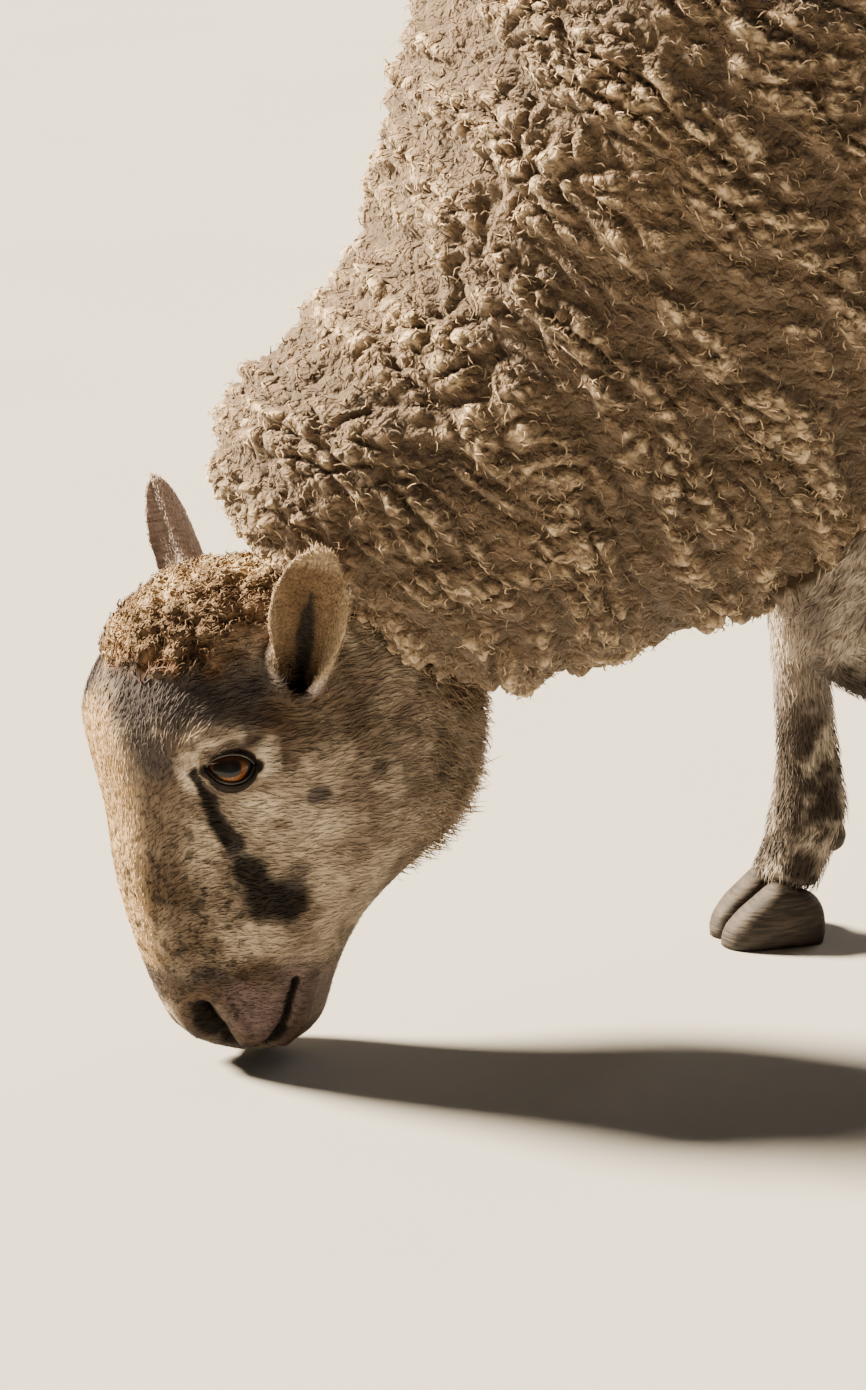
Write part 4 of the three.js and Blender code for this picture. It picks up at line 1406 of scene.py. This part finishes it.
def make_throat_wool(ground, material):
    """Wisps of wool on the jaw's angle and the throat, where the fleece thins out into short fur."""
    local = to_head(ground.points)
    share = ground.face * rise(local[:, 0], *THROAT_REAR) * rise(local[:, 2], *THROAT_TOP)
    roots = ground.plant(share, THROAT_WOOL)
    roots.turn_lie()
    roots.tone = roots.spread(0.15, 0.6)
    along = steps(THROAT_WOOL["taper"])
    size = rise(to_head(roots.points)[:, 0], *THROAT_GROWS) * 0.6 + 0.4
    up = roots.lengths("up", size) * np.sin(along * math.pi / 2) - CURL_SUNK
    phase = roots.coil(along)
    curl = roots.lengths("curl", size) * along ** 0.7
    run = roots.lengths("run", size) * along
    lines = roots.rising(up, run, unit(roots.lie + np.array(THROAT_LIE)))
    lines = roots.curled(lines, curl, phase, 0.5 * roots.normals)
    in_pieces("throat_wool", roots, lines, roots.widths(size), material)


def make_topknot(ground, material):
    """Short curls, close together, between the ears and down to the brow."""
    roots = ground.plant(ground.topknot, TOPKNOT)
    roots.tone = roots.spread(0, 1)
    roots.turn_lie(TOPKNOT_SWIRL * cloud(roots.points, TOPKNOT_SWIRL_SIZE, TOPKNOT_SWIRL_SEED))
    along = steps(TOPKNOT["taper"])
    up = roots.lengths("up", roots.topknot) * np.sin(along * math.pi / 2) - CURL_SUNK
    phase = roots.coil(along)
    local = to_head(roots.points)
    over_brow = rise(local[:, 2], *BROW_TOP) * rise(local[:, 0], *BROW_REAR)
    run = roots.lengths("run", 1 + BROW_LONGER * over_brow) * along
    curl = roots.lengths("curl") * along ** 0.6
    lines = roots.rising(up, run, roots.lie)
    lines = roots.curled(lines, curl, phase, roots.lie - 0.4 * roots.normals)
    in_pieces("topknot", roots, lines, roots.widths(), material)


# ---- Eyes ---------------------------------------------------------------------------------------


EYEBALL_INSET = 0.4  # the ball is this much smaller than its socket
CORNEA_RISE, CORNEA_EDGE = 1.3, (11, 3)  # how far the clear part bulges, and between which distances
CORNEA_UP = 2.5  # how far the clear part's middle is above the ball's
RIM_SIDES, RIM_STEPS, RIM_RADIUS = 8, 48, 10  # the lid's rim as a ring, before it is bent to the opening
RIM_THICK, RIM_THICKER, RIM_OUTSIDE = 0.9, 0.5, 0.2  # thicker at its rear and below
RIM_REAR = (0.2, 0.9)  # the cosines, round the opening, between which it gets thicker


def make_eye(name, side, material):
    ball = bmesh.new()
    bmesh.ops.create_uvsphere(ball, u_segments=48, v_segments=32, radius=EYEBALL - EYEBALL_INSET)
    mesh = settle(ball, bpy.data.meshes.new(name))
    points = points_of(mesh)
    away_from_axis = np.hypot(points[:, 0], points[:, 1] - CORNEA_UP)
    points[:, 2] += CORNEA_RISE * rise(away_from_axis, *CORNEA_EDGE) * (points[:, 2] > 0)
    layer = mesh.attributes.new("gaze", "FLOAT_VECTOR", "POINT")
    layer.data.foreach_set("vector", points.astype(np.float32).ravel())
    move_points(mesh, from_head(from_eye(points, side)))
    if side > 0:
        mesh.flip_normals()
    dress(mesh, material)
    thing = object_of(name + "_ball", mesh)
    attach(thing, "root")
    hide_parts(name)


def make_lid_edge(name, side, material):
    """A wet dark rim round an eye's opening."""
    rim = bmesh.new()
    profile = bmesh.ops.create_circle(rim, segments=RIM_SIDES, radius=1.0)["verts"]
    for vertex in profile:
        vertex.co = (vertex.co.x + RIM_RADIUS, 0, vertex.co.y)
    edges = rim.edges[:]
    bmesh.ops.spin(rim, geom=profile + edges, cent=(0, 0, 0), axis=(0, 0, 1), angle=math.tau, steps=RIM_STEPS,
                   use_merge=True)
    mesh = settle(rim, bpy.data.meshes.new(name))
    points = points_of(mesh)
    turn = np.arctan2(points[:, 1], points[:, 0])
    outward, over = np.hypot(points[:, 0], points[:, 1]) - RIM_RADIUS, points[:, 2]
    rear = EYE_OPENING["middle"][0] + (EYE_OPENING["half_length"] + RIM_OUTSIDE) * np.cos(turn)
    high, low = opening_edge(rear)
    edge = np.where(turn > 0, high, low)
    thick = RIM_THICK + RIM_THICKER * rise(np.cos(turn), *RIM_REAR) + RIM_THICKER * (turn < 0)
    flat = np.stack([rear + outward * thick * np.cos(turn), edge + outward * thick * np.sin(turn)], axis=1)
    stand = (EYEBALL + LID / 2) ** 2 - (flat ** 2).sum(axis=1)
    out = np.sqrt(np.maximum(stand, LEAST_LID ** 2)) + over * RIM_THICK
    move_points(mesh, from_head(from_eye(np.column_stack([flat, out]), side)))
    whole = editable(mesh)
    bmesh.ops.recalc_face_normals(whole, faces=whole.faces)
    dress(settle(whole, mesh), material)
    thing = object_of(name, mesh)
    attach(thing, "root")


# ---- Claws --------------------------------------------------------------------------------------

DEWCLAW_SUNK = 0.0065
CLAW_VOXELS = (("claw", 0.0019), ("dewclaw", 0.0012))
SOLE_HEIGHT, SOLE = 0.0016, 0.0004  # a claw is flat up to the first, at the second
EVEN_CLAW = (0.7, 8)  # how far each round evens a claw out, and the rounds


def nearest_on(line, place):
    """The place on a line of bones nearest to another place."""
    best = None
    for start, end in zip(line[:-1], line[1:]):
        bone = end - start
        spot = start + bone * np.clip((place - start) @ bone / (bone @ bone), 0, 1)
        if best is None or np.linalg.norm(place - spot) < np.linalg.norm(place - best):
            best = spot
    return best


def make_claws(material):
    claws = [(leg, toe, *kind) for leg in LEG_NAMES for toe in ("outer", "inner") for kind in CLAW_VOXELS]
    for leg, toe, kind, voxel in claws:
        node = f"{leg}_{kind}_{toe}"
        thing = fused(node + "_horn", [node], voxel)
        mesh = thing.data
        points, edges = points_of(mesh), edges_of(mesh)
        flat = points[:, 2] < SOLE_HEIGHT
        points = evened(points, edges, np.full(len(points), EVEN_CLAW[0]), EVEN_CLAW[1])
        points[flat, 2] = np.minimum(points[flat, 2], SOLE)
        if kind == "dewclaw":
            place = points.mean(axis=0)
            points = points - unit(place - nearest_on(bones(leg), place)) * DEWCLAW_SUNK
        move_points(mesh, points)
        dress(mesh, material)
        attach(thing, "root")
        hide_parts(node)


# ---- Colours and surfaces -----------------------------------------------------------------------

CREAM = (0.47, 0.385, 0.295)
TAUPE = (0.215, 0.165, 0.125)
GOLD = (0.50, 0.33, 0.15)
SLATE = (0.046, 0.039, 0.041)
BLACK = (0.010, 0.008, 0.007)
RUST = (0.17, 0.078, 0.032)
MAUVE = (0.17, 0.12, 0.12)
UMBER = (0.085, 0.055, 0.036)
PALE = (0.66, 0.56, 0.45)
EAR_BACK = (0.42, 0.355, 0.345)
# The ear's hollow: its golden-brown, darkened with painted shade.
EAR_HOLLOW, EAR_HOLLOW_PALE = (0.105, 0.062, 0.032), (0.21, 0.14, 0.08)
EAR_RIM = (0.50, 0.38, 0.25)
LEG_PALE, LEG_GREY, LEG_DARK = (0.52, 0.45, 0.37), (0.26, 0.215, 0.185), (0.03, 0.022, 0.018)
LEG_DARK_TOP, LEG_DARK_EDGE = (0.165, 0.115), 0.12  # metres from the floor, and how far the edge wanders
NEAR_KNEE, NEAR_KNEE_SIZE = (-0.195, -0.098, 0.188), (0.06, 0.07, 0.035)  # the band under the lifted knee
TOPKNOT_PALE, TOPKNOT_BROWN = (0.58, 0.44, 0.27), (0.22, 0.14, 0.08)
# Painted shade on the topknot's sides, and in dark spots among its curls.
TOPKNOT_SIDE_SHADE, TOPKNOT_SHADE = (0.105, 0.062, 0.036), (0.05, 0.03, 0.018)
# The bare skin's own near-black, also painted shade down the ears' slits and inside the nostrils.
BARE_SKIN_AND_SHADE, SKIN_SHADE = (0.005, 0.004, 0.004), (0.03, 0.022, 0.016)
WOOL_TIP = (0.80, 0.605, 0.385)
WOOL_MIDDLE = (0.205, 0.134, 0.078)
# Painted shade: deep in the fleece, on the skin under it and at the locks' roots; and in the fleece's
# creases.
WOOL_DEEP_SHADE, WOOL_CREASE_SHADE = (0.035, 0.02, 0.011), (0.06, 0.036, 0.02)
WOOL_SHADE, BED_DUST, LOCK_DUST = (0.12, 0.075, 0.042), (0.38, 0.26, 0.15), (0.34, 0.235, 0.14)
# Painted shade between the puffs, for the larger and the smaller.
PUFF_GAP_SHADES = (0.09, 0.055, 0.03), (0.10, 0.062, 0.034)
PUFF_SCALES, PUFF_BEND = (135, 300), 0.009  # puffs per metre, and how far their edges wander in metres
WOOL_SHEEN, FUR_SHEEN = (1, 0.93, 0.8, 1), (1, 0.92, 0.8, 1)
IRIS_DARK, IRIS_PALE, IRIS_EDGE = (0.10, 0.032, 0.008), (0.24, 0.085, 0.018), (0.06, 0.03, 0.012)
EYE_WHITE, PUPIL, EYE_SHADE = (0.05, 0.035, 0.03), (0.006, 0.006, 0.008), (0.012, 0.007, 0.005)
IRIS_PLACE, PUPIL_PLACE = ((-0.5, 9.7), (2.6, 7.6)), ((-1.7, 7.2), (3.3, 4.2))  # middle and half size
LID_SHADE = (2.5, 7.5)  # how far up the ball the upper lid's shade begins and is all there
LID_DARK, LID_PALE = (0.012, 0.009, 0.008), (0.035, 0.026, 0.022)
HORN_DARK, HORN_PALE = (0.018, 0.014, 0.012), (0.05, 0.038, 0.03)
HORN_RINGS = (60, 60, 520)  # per metre along each axis
FLOOR_DARK, FLOOR_PALE = (0.36, 0.36, 0.35), (0.40, 0.40, 0.39)
FLOOR_SIZE, FLOOR_LEVEL = 40, -0.0004
# Places on the head between which a marking fades, in millimetres: X from the lips back, Z up.
CHEEK_STREAKS = (-50, -30)
SPECKLED_FRONT, SPECKLED_LOW = (20, -20), (200, 110)
RUSTY_TOP, RUSTY_FRONT = (243, 226), (-5, -25)
# Across the topknot, millimetres off its middle: where the painted shade on its sides begins and is full,
# leaving the crown lit; and how far that edge wanders.
LIT_CROWN, LIT_CROWN_WANDER = (8, 26), 26

# Marks on both sides of the head: colour, from, to, half width, softness, strength.
HEAD_MARKS = [
    (GOLD, (-72, 4, 190), (-60, 6, 70), 17, 0.5, 0.65),
    (UMBER, (-50, 42, 200), (-48, 26, 110), 13, 0.6, 0.75),
    (UMBER, (-44, 26, 112), (-30, 26, 66), 13, 0.6, 0.75),
    (SLATE, (-68, 20, 228), (-40, 40, 214), 18, 0.4, 0.95),
    (SLATE, (-58, 34, 216), (-6, 52, 210), 18, 0.5, 0.9),
    (SLATE, (-64, 26, 206), (-54, 36, 184), 13, 0.5, 0.9),
    (UMBER, (2, 58, 200), (12, 58, 190), 14, 0.7, 0.75),
    (SLATE, (-30, 40, 240), (-8, 50, 226), 13, 0.5, 0.8),
    (UMBER, (14, 58, 204), (38, 56, 200), 17, 0.6, 0.75),
    (UMBER, (38, 56, 214), (60, 56, 190), 14, 0.7, 0.55),
    (UMBER, (-30, 30, 50), (4, 36, 56), 11, 0.5, 0.9),
    (SLATE, (-42, 6, 50), (-22, 30, 52), 10, 0.5, 0.85),
    (UMBER, (-30, 26, 30), (0, 30, 22), 17, 0.6, 0.8),
    (UMBER, (-34, 22, 18), (-10, 16, 8), 17, 0.6, 0.9),
    (UMBER, (-40, 14, 44), (-24, 30, 42), 12, 0.7, 0.8),
    (SLATE, (-30, 20, 14), (-8, 18, 6), 13, 0.6, 0.85),
    (MAUVE, (24, 36, 48), (46, 26, 36), 15, 0.5, 0.8),
    (MAUVE, (-6, 34, 36), (16, 33, 24), 14, 0.6, 0.85),
    (UMBER, (22, 30, 20), (36, 20, 14), 10, 0.6, 0.7),
    (PALE, (-43, 45, 186), (-40, 46, 168), 7, 0.5, 0.75),
    (PALE, (-38, 58, 193), (-20, 60, 195), 4.5, 0.5, 0.85),
    (PALE, (-4, 59, 188), (-3, 59, 176), 6, 0.5, 0.75),
    (PALE, (-10, 50, 152), (30, 57, 140), 11, 0.9, 0.45),
    (BLACK, (-39, 48, 176), (-34, 47, 166), 4.5, 0.35, 1.0),
    (BLACK, (-34, 47, 167), (-26, 42, 148), 4.6, 0.35, 1.0),
    (BLACK, (-25, 42, 146), (-17, 42, 133), 6.2, 0.4, 1.0),
    (SLATE, (-15, 42, 129), (-6, 43, 118), 5.5, 0.6, 0.85),
    (BLACK, (-8, 43, 115), (6, 44, 100), 10, 0.5, 1.0),
    (BLACK, (2, 44, 98), (16, 45, 95), 12, 0.5, 1.0),
    (SLATE, (17, 46, 108), (19, 47, 114), 5.5, 0.6, 0.6),
    (SLATE, (24, 58, 157), (27, 58, 158), 5, 0.45, 0.85),
    (UMBER, (5, 52, 143), (8, 52, 143), 4.5, 0.5, 0.7),
    (SLATE, (60, 59, 168), (62, 59, 168), 4.5, 0.5, 0.6),
    (SLATE, (106, 46, 154), (108, 46, 154), 6, 0.5, 0.7),
    (RUST, (-61, 3, 238), (-58, 10, 236), 6, 0.6, 0.8),
    # Painted shade under the topknot's fringe over the brow.
    (BLACK, (-47, 26, 238), (-33, 40, 235), 5, 0.5, 0.8),
]


class CoatShader(Shader):
    """Markings that the skin and the short fur share."""

    def head_place(self):
        """Places in the head's own frame, in millimetres, with the two sides as one; and their parts."""
        shifted = self.vector("SUBTRACT", self.place, tuple(HEAD_ORIGIN))
        upright = {"rotation_type": "Z_AXIS"}
        turned = self.node("ShaderNodeVectorRotate", upright, Vector=shifted, Angle=-HEAD_TURN)
        parts = self.parts(self.vector("SCALE", turned["Vector"], Scale=1 / MM))
        flank = parts["Y"].size()
        return self.node("ShaderNodeCombineXYZ", {}, parts["X"], flank, parts["Z"])[0], parts

    def hair_streaks(self):
        """Fine streaks along the hair: up the nose and the legs, backwards on the cheeks."""
        place, parts = self.head_place()
        upward, backward = (self.noise(0.55, 3, 0.6, vector=self.vector("MULTIPLY", place, way))
                            for way in ((1, 1, 0.12), (0.15, 1, 1)))
        cheek = parts["X"].ramp(*CHEEK_STREAKS) * (1 - self.attribute("leg"))
        return upward + cheek * (backward - upward)

    def face_colour(self, place, parts, mottle, patchy, warp):
        face = self.mix(patchy.ramp(0.4, 0.62), CREAM, TAUPE)
        for tint, start, end, width, soft, strength in HEAD_MARKS:
            inside = (self.stroke(place, start, end) / width + warp).ramp(1 + soft, 1 - soft)
            face = self.mix(inside * strength, face, tint)
        nose = mottle.ramp(0.50, 0.62) * parts["X"].ramp(*SPECKLED_FRONT)
        speckle = nose * parts["Z"].ramp(*SPECKLED_LOW)
        return self.mix(speckle * 0.7, face, BLACK)

    def ear_colour(self, patchy):
        # The hollow's dark colour is partly painted shade.
        hollow = self.mix(patchy.ramp(0.35, 0.6) * 0.5, EAR_HOLLOW, EAR_HOLLOW_PALE)
        ear = self.mix(self.attribute("inside_ear").ramp(0.2, 0.8), EAR_BACK, hollow)
        return self.mix(self.attribute("ear_rim") * 0.85, ear, EAR_RIM)

    def leg_colour(self, mottle, patchy, warp):
        height = self.parts(self.place)["Z"] + LEG_DARK_EDGE * (self.noise(17, 3) - 0.5)
        knee = self.spot(NEAR_KNEE, NEAR_KNEE_SIZE, 0.4, warp)
        leg = self.mix(patchy.ramp(0.4, 0.62), LEG_PALE, LEG_GREY)
        leg = self.mix(mottle.ramp(0.52, 0.66) * 0.6, leg, UMBER)
        blotch = self.noise(30, 3, 0.6).ramp(0.36, 0.5)
        return self.mix((height.ramp(*LEG_DARK_TOP) * blotch).top(knee) * 0.95, leg, LEG_DARK)

    def topknot_colour(self, parts, patchy):
        brow = parts["Z"].ramp(*RUSTY_TOP) * parts["X"].ramp(*RUSTY_FRONT)
        topknot = self.mix(patchy.ramp(0.40, 0.60) * 0.75, TOPKNOT_PALE, TOPKNOT_BROWN)
        # Painted shade on the topknot's sides, lighter on its crown.
        flank = (parts["Y"].size() + LIT_CROWN_WANDER * (self.noise(38, 2) - 0.5)).ramp(*LIT_CROWN)
        topknot = self.mix(flank * 0.85, topknot, TOPKNOT_SIDE_SHADE)
        topknot = self.mix(self.noise(75, 3).ramp(0.40, 0.52) * brow, topknot, RUST)
        # Dark spots of painted shade among the curls, strongest under the fringe over the brow.
        return self.mix(self.noise(48, 2).ramp(0.46, 0.58) * (0.35 + 0.6 * brow), topknot, TOPKNOT_SHADE)

    def markings(self):
        place, parts = self.head_place()
        mottle, patchy = self.noise(150, 3, 0.6), self.noise(42, 2, 0.5)
        warp = (self.noise(70, 2) - 0.5) * 1.1
        face = self.face_colour(place, parts, mottle, patchy, warp)
        short = self.mix(self.attribute("leg"), face, self.leg_colour(mottle, patchy, warp))
        short = self.mix(self.attribute("ear"), short, self.ear_colour(patchy))
        short = self.mix(self.attribute("topknot"), short, self.topknot_colour(parts, patchy))
        return self.mix(self.attribute("bare"), short, BARE_SKIN_AND_SHADE)


def skin_material():
    shader = CoatShader("skin")
    fine = shader.hair_streaks()
    # The skin under the fleece takes the painted shade of deep wool.
    tint = shader.mix(shader.attribute("wool"), shader.markings(), WOOL_DEEP_SHADE)
    tint = shader.mix(fine.ramp(0.62, 0.3) * 0.6, tint, SKIN_SHADE)
    normal = shader.bump(fine, 0.0012, 0.8)
    return shader.set(Base_Color=tint, Roughness=0.75, Specular_IOR_Level=0.12, Normal=normal)


def fur_material():
    shader = CoatShader("short_fur")
    # Each hair is darker towards its root, painted shade, and paler or darker by its random tone.
    root_shade_and_tone = 0.64 + 0.32 * shader.attribute("tone") + 0.32 * shader.attribute("along")
    tint = shader.vector("SCALE", shader.markings(), Scale=root_shade_and_tone)
    return shader.set(Base_Color=tint, Roughness=0.6, Specular_IOR_Level=0.15,
                      Sheen_Weight=0.02, Sheen_Roughness=0.4, Sheen_Tint=FUR_SHEEN)


def bed_material():
    """Packed wool: small rounded puffs in two sizes, with painted shade between them and in the folds, and
    painted light on the high wool and the puffs' middles.
    """
    shader = Shader("packed_wool")
    relief = shader.attribute("relief")
    dirt, fine = shader.noise(9, 3, 0.55), shader.noise(430, 4, 0.7)
    shift = shader.node("ShaderNodeTexNoise", {}, Vector=shader.place, Scale=120, Detail=3)["Color"]
    bent = shader.vector("ADD", shader.place, shader.vector("SCALE", shift, Scale=PUFF_BEND))
    big, small = (shader.cells(scale, bent) for scale in PUFF_SCALES)
    height = 1.5 - big * big - 0.5 * small * small
    # Painted shade and light: darker the deeper the wool lies, paler on the high wool and the middles of the
    # puffs.
    tint = shader.mix(relief.ramp(0.25, 0.68), WOOL_DEEP_SHADE, WOOL_MIDDLE)
    tint = shader.mix((relief - 0.3 * (big - 0.4)).ramp(0.52, 0.95), tint, WOOL_TIP)
    # Painted shade in the creases.
    tint = shader.mix(shader.attribute("crease").ramp(0.1, 0.9) * 0.75, tint, WOOL_CREASE_SHADE)
    tint = shader.mix(dirt.ramp(0.45, 0.75) * 0.35, tint, BED_DUST)
    tint = shader.mix((1 - fine) * 0.28, tint, WOOL_SHADE)
    # Painted shade between the puffs.
    tint = shader.mix(big.ramp(0.38, 0.85) * 0.75, tint, PUFF_GAP_SHADES[0])
    tint = shader.mix(small.ramp(0.4, 0.85) * 0.4, tint, PUFF_GAP_SHADES[1])
    normal = shader.bump(height + 0.25 * fine, 0.0042, 1.0)
    return shader.set(Base_Color=tint, Roughness=0.85, Normal=normal,
                      Sheen_Weight=0.15, Sheen_Roughness=0.5, Sheen_Tint=WOOL_SHEEN)


def fleece_material():
    shader = Shader("fleece")
    along, tone = shader.attribute("along"), shader.attribute("tone")
    dirt, fine = shader.noise(9, 3, 0.55), shader.noise(520, 3, 0.7)
    # A lock's root colour: painted shade, darker for a darker tone.
    deep = shader.mix(tone.ramp(0.0, 0.6), WOOL_DEEP_SHADE, WOOL_MIDDLE)
    tip = shader.mix(tone.ramp(0.25, 0.95), WOOL_MIDDLE, WOOL_TIP)
    tip = shader.mix(dirt.ramp(0.45, 0.75) * 0.4, tip, LOCK_DUST)
    # Painted shade at the root, fading out halfway up the lock.
    tint = shader.mix(along.ramp(0.0, 0.5), deep, tip)
    tint = shader.mix((1 - fine) * 0.3, tint, WOOL_SHADE)
    normal = shader.bump(fine, 0.0012, 0.7)
    return shader.set(Base_Color=tint, Roughness=0.78, Normal=normal,
                      Sheen_Weight=0.2, Sheen_Roughness=0.5, Sheen_Tint=WOOL_SHEEN)


def eye_material():
    """A dark amber iris with a lying pupil; the distances on the ball are millimetres."""
    shader = Shader("eye")
    gaze = shader.attribute("gaze", "Vector")
    parts = shader.parts(gaze)
    across, up = ((parts[axis] - at) / size for axis, (at, size) in zip("XY", IRIS_PLACE))
    iris = across * across + up * up
    bar_across, bar_up = ((parts[axis] - at) / size for axis, (at, size) in zip("XY", PUPIL_PLACE))
    pupil = (bar_across * bar_across) ** 1.5 + (bar_up * bar_up) ** 1.5
    streaks = shader.noise(0.9, 3, 0.6, vector=gaze)
    amber = shader.mix(streaks.ramp(0.35, 0.65), IRIS_DARK, IRIS_PALE)
    amber = shader.mix(iris.ramp(0.6, 1.0) * 0.7, amber, IRIS_EDGE)
    tint = shader.mix(iris.ramp(0.94, 1.08), amber, EYE_WHITE)
    tint = shader.mix(pupil.ramp(1.15, 0.8), tint, PUPIL)
    tint = shader.mix(parts["Y"].ramp(*LID_SHADE) * 0.85, tint, EYE_SHADE)
    return shader.set(Base_Color=tint, Roughness=0.35, Specular_IOR_Level=0.15,
                      Coat_Weight=0.35, Coat_Roughness=0.05)


def lid_material():
    shader = Shader("lid_edge")
    fine = shader.noise(600, 2)
    return shader.set(Base_Color=shader.mix(fine, LID_DARK, LID_PALE), Roughness=0.32,
                      Coat_Weight=0.5, Coat_Roughness=0.15, Normal=shader.bump(fine, 0.0004, 0.5))


def horn_material():
    shader = Shader("horn")
    rings = shader.noise(1, 3, 0.6, vector=shader.vector("MULTIPLY", shader.place, HORN_RINGS))
    tint = shader.mix(rings.ramp(0.35, 0.7), HORN_DARK, HORN_PALE)
    normal = shader.bump(rings, 0.0012, 0.8)
    return shader.set(Base_Color=tint, Roughness=0.68, Specular_IOR_Level=0.3, Normal=normal)


def floor_material():
    shader = Shader("floor")
    return shader.set(Base_Color=shader.mix(shader.noise(3, 2), FLOOR_DARK, FLOOR_PALE), Roughness=0.85)


def make_floor():
    floor = bmesh.new()
    bmesh.ops.create_grid(floor, x_segments=1, y_segments=1, size=FLOOR_SIZE)
    mesh = settle(floor, bpy.data.meshes.new("floor"))
    mesh.transform(Matrix.Translation((0, 0, FLOOR_LEVEL)))
    mesh.materials.append(floor_material())
    object_of("floor", mesh)


def main():
    make_camera()
    make_lights()
    make_floor()
    skin, outline, bare_places = make_skin()
    ground = Ground(skin, outline, bare_places)
    ground.inside_ear, slit, ground.ear_rim = hollow_of_ears(ground)
    # The ears' slits take the bare skin's near-black as painted shade.
    ground.bare = np.maximum(ground.bare, slit)
    ground.fields += ("inside_ear", "ear_rim")
    for field in ("wool", *ground.fields):
        mark(skin.data, field, getattr(ground, field))
    skin.data.materials.clear()
    skin.data.materials.append(skin_material())
    fleece, fur = fleece_material(), fur_material()
    make_fleece(fleece, bed_material())
    make_short_fur(ground, fur)
    make_topknot(ground, fur)
    make_throat_wool(ground, fleece)
    eye, lid = eye_material(), lid_material()
    for name, side in (("eye_left", -1), ("eye_right", 1)):
        make_eye(name, side, eye)
        make_lid_edge(name.replace("eye", "lid_edge"), side, lid)
    make_claws(horn_material())


main()
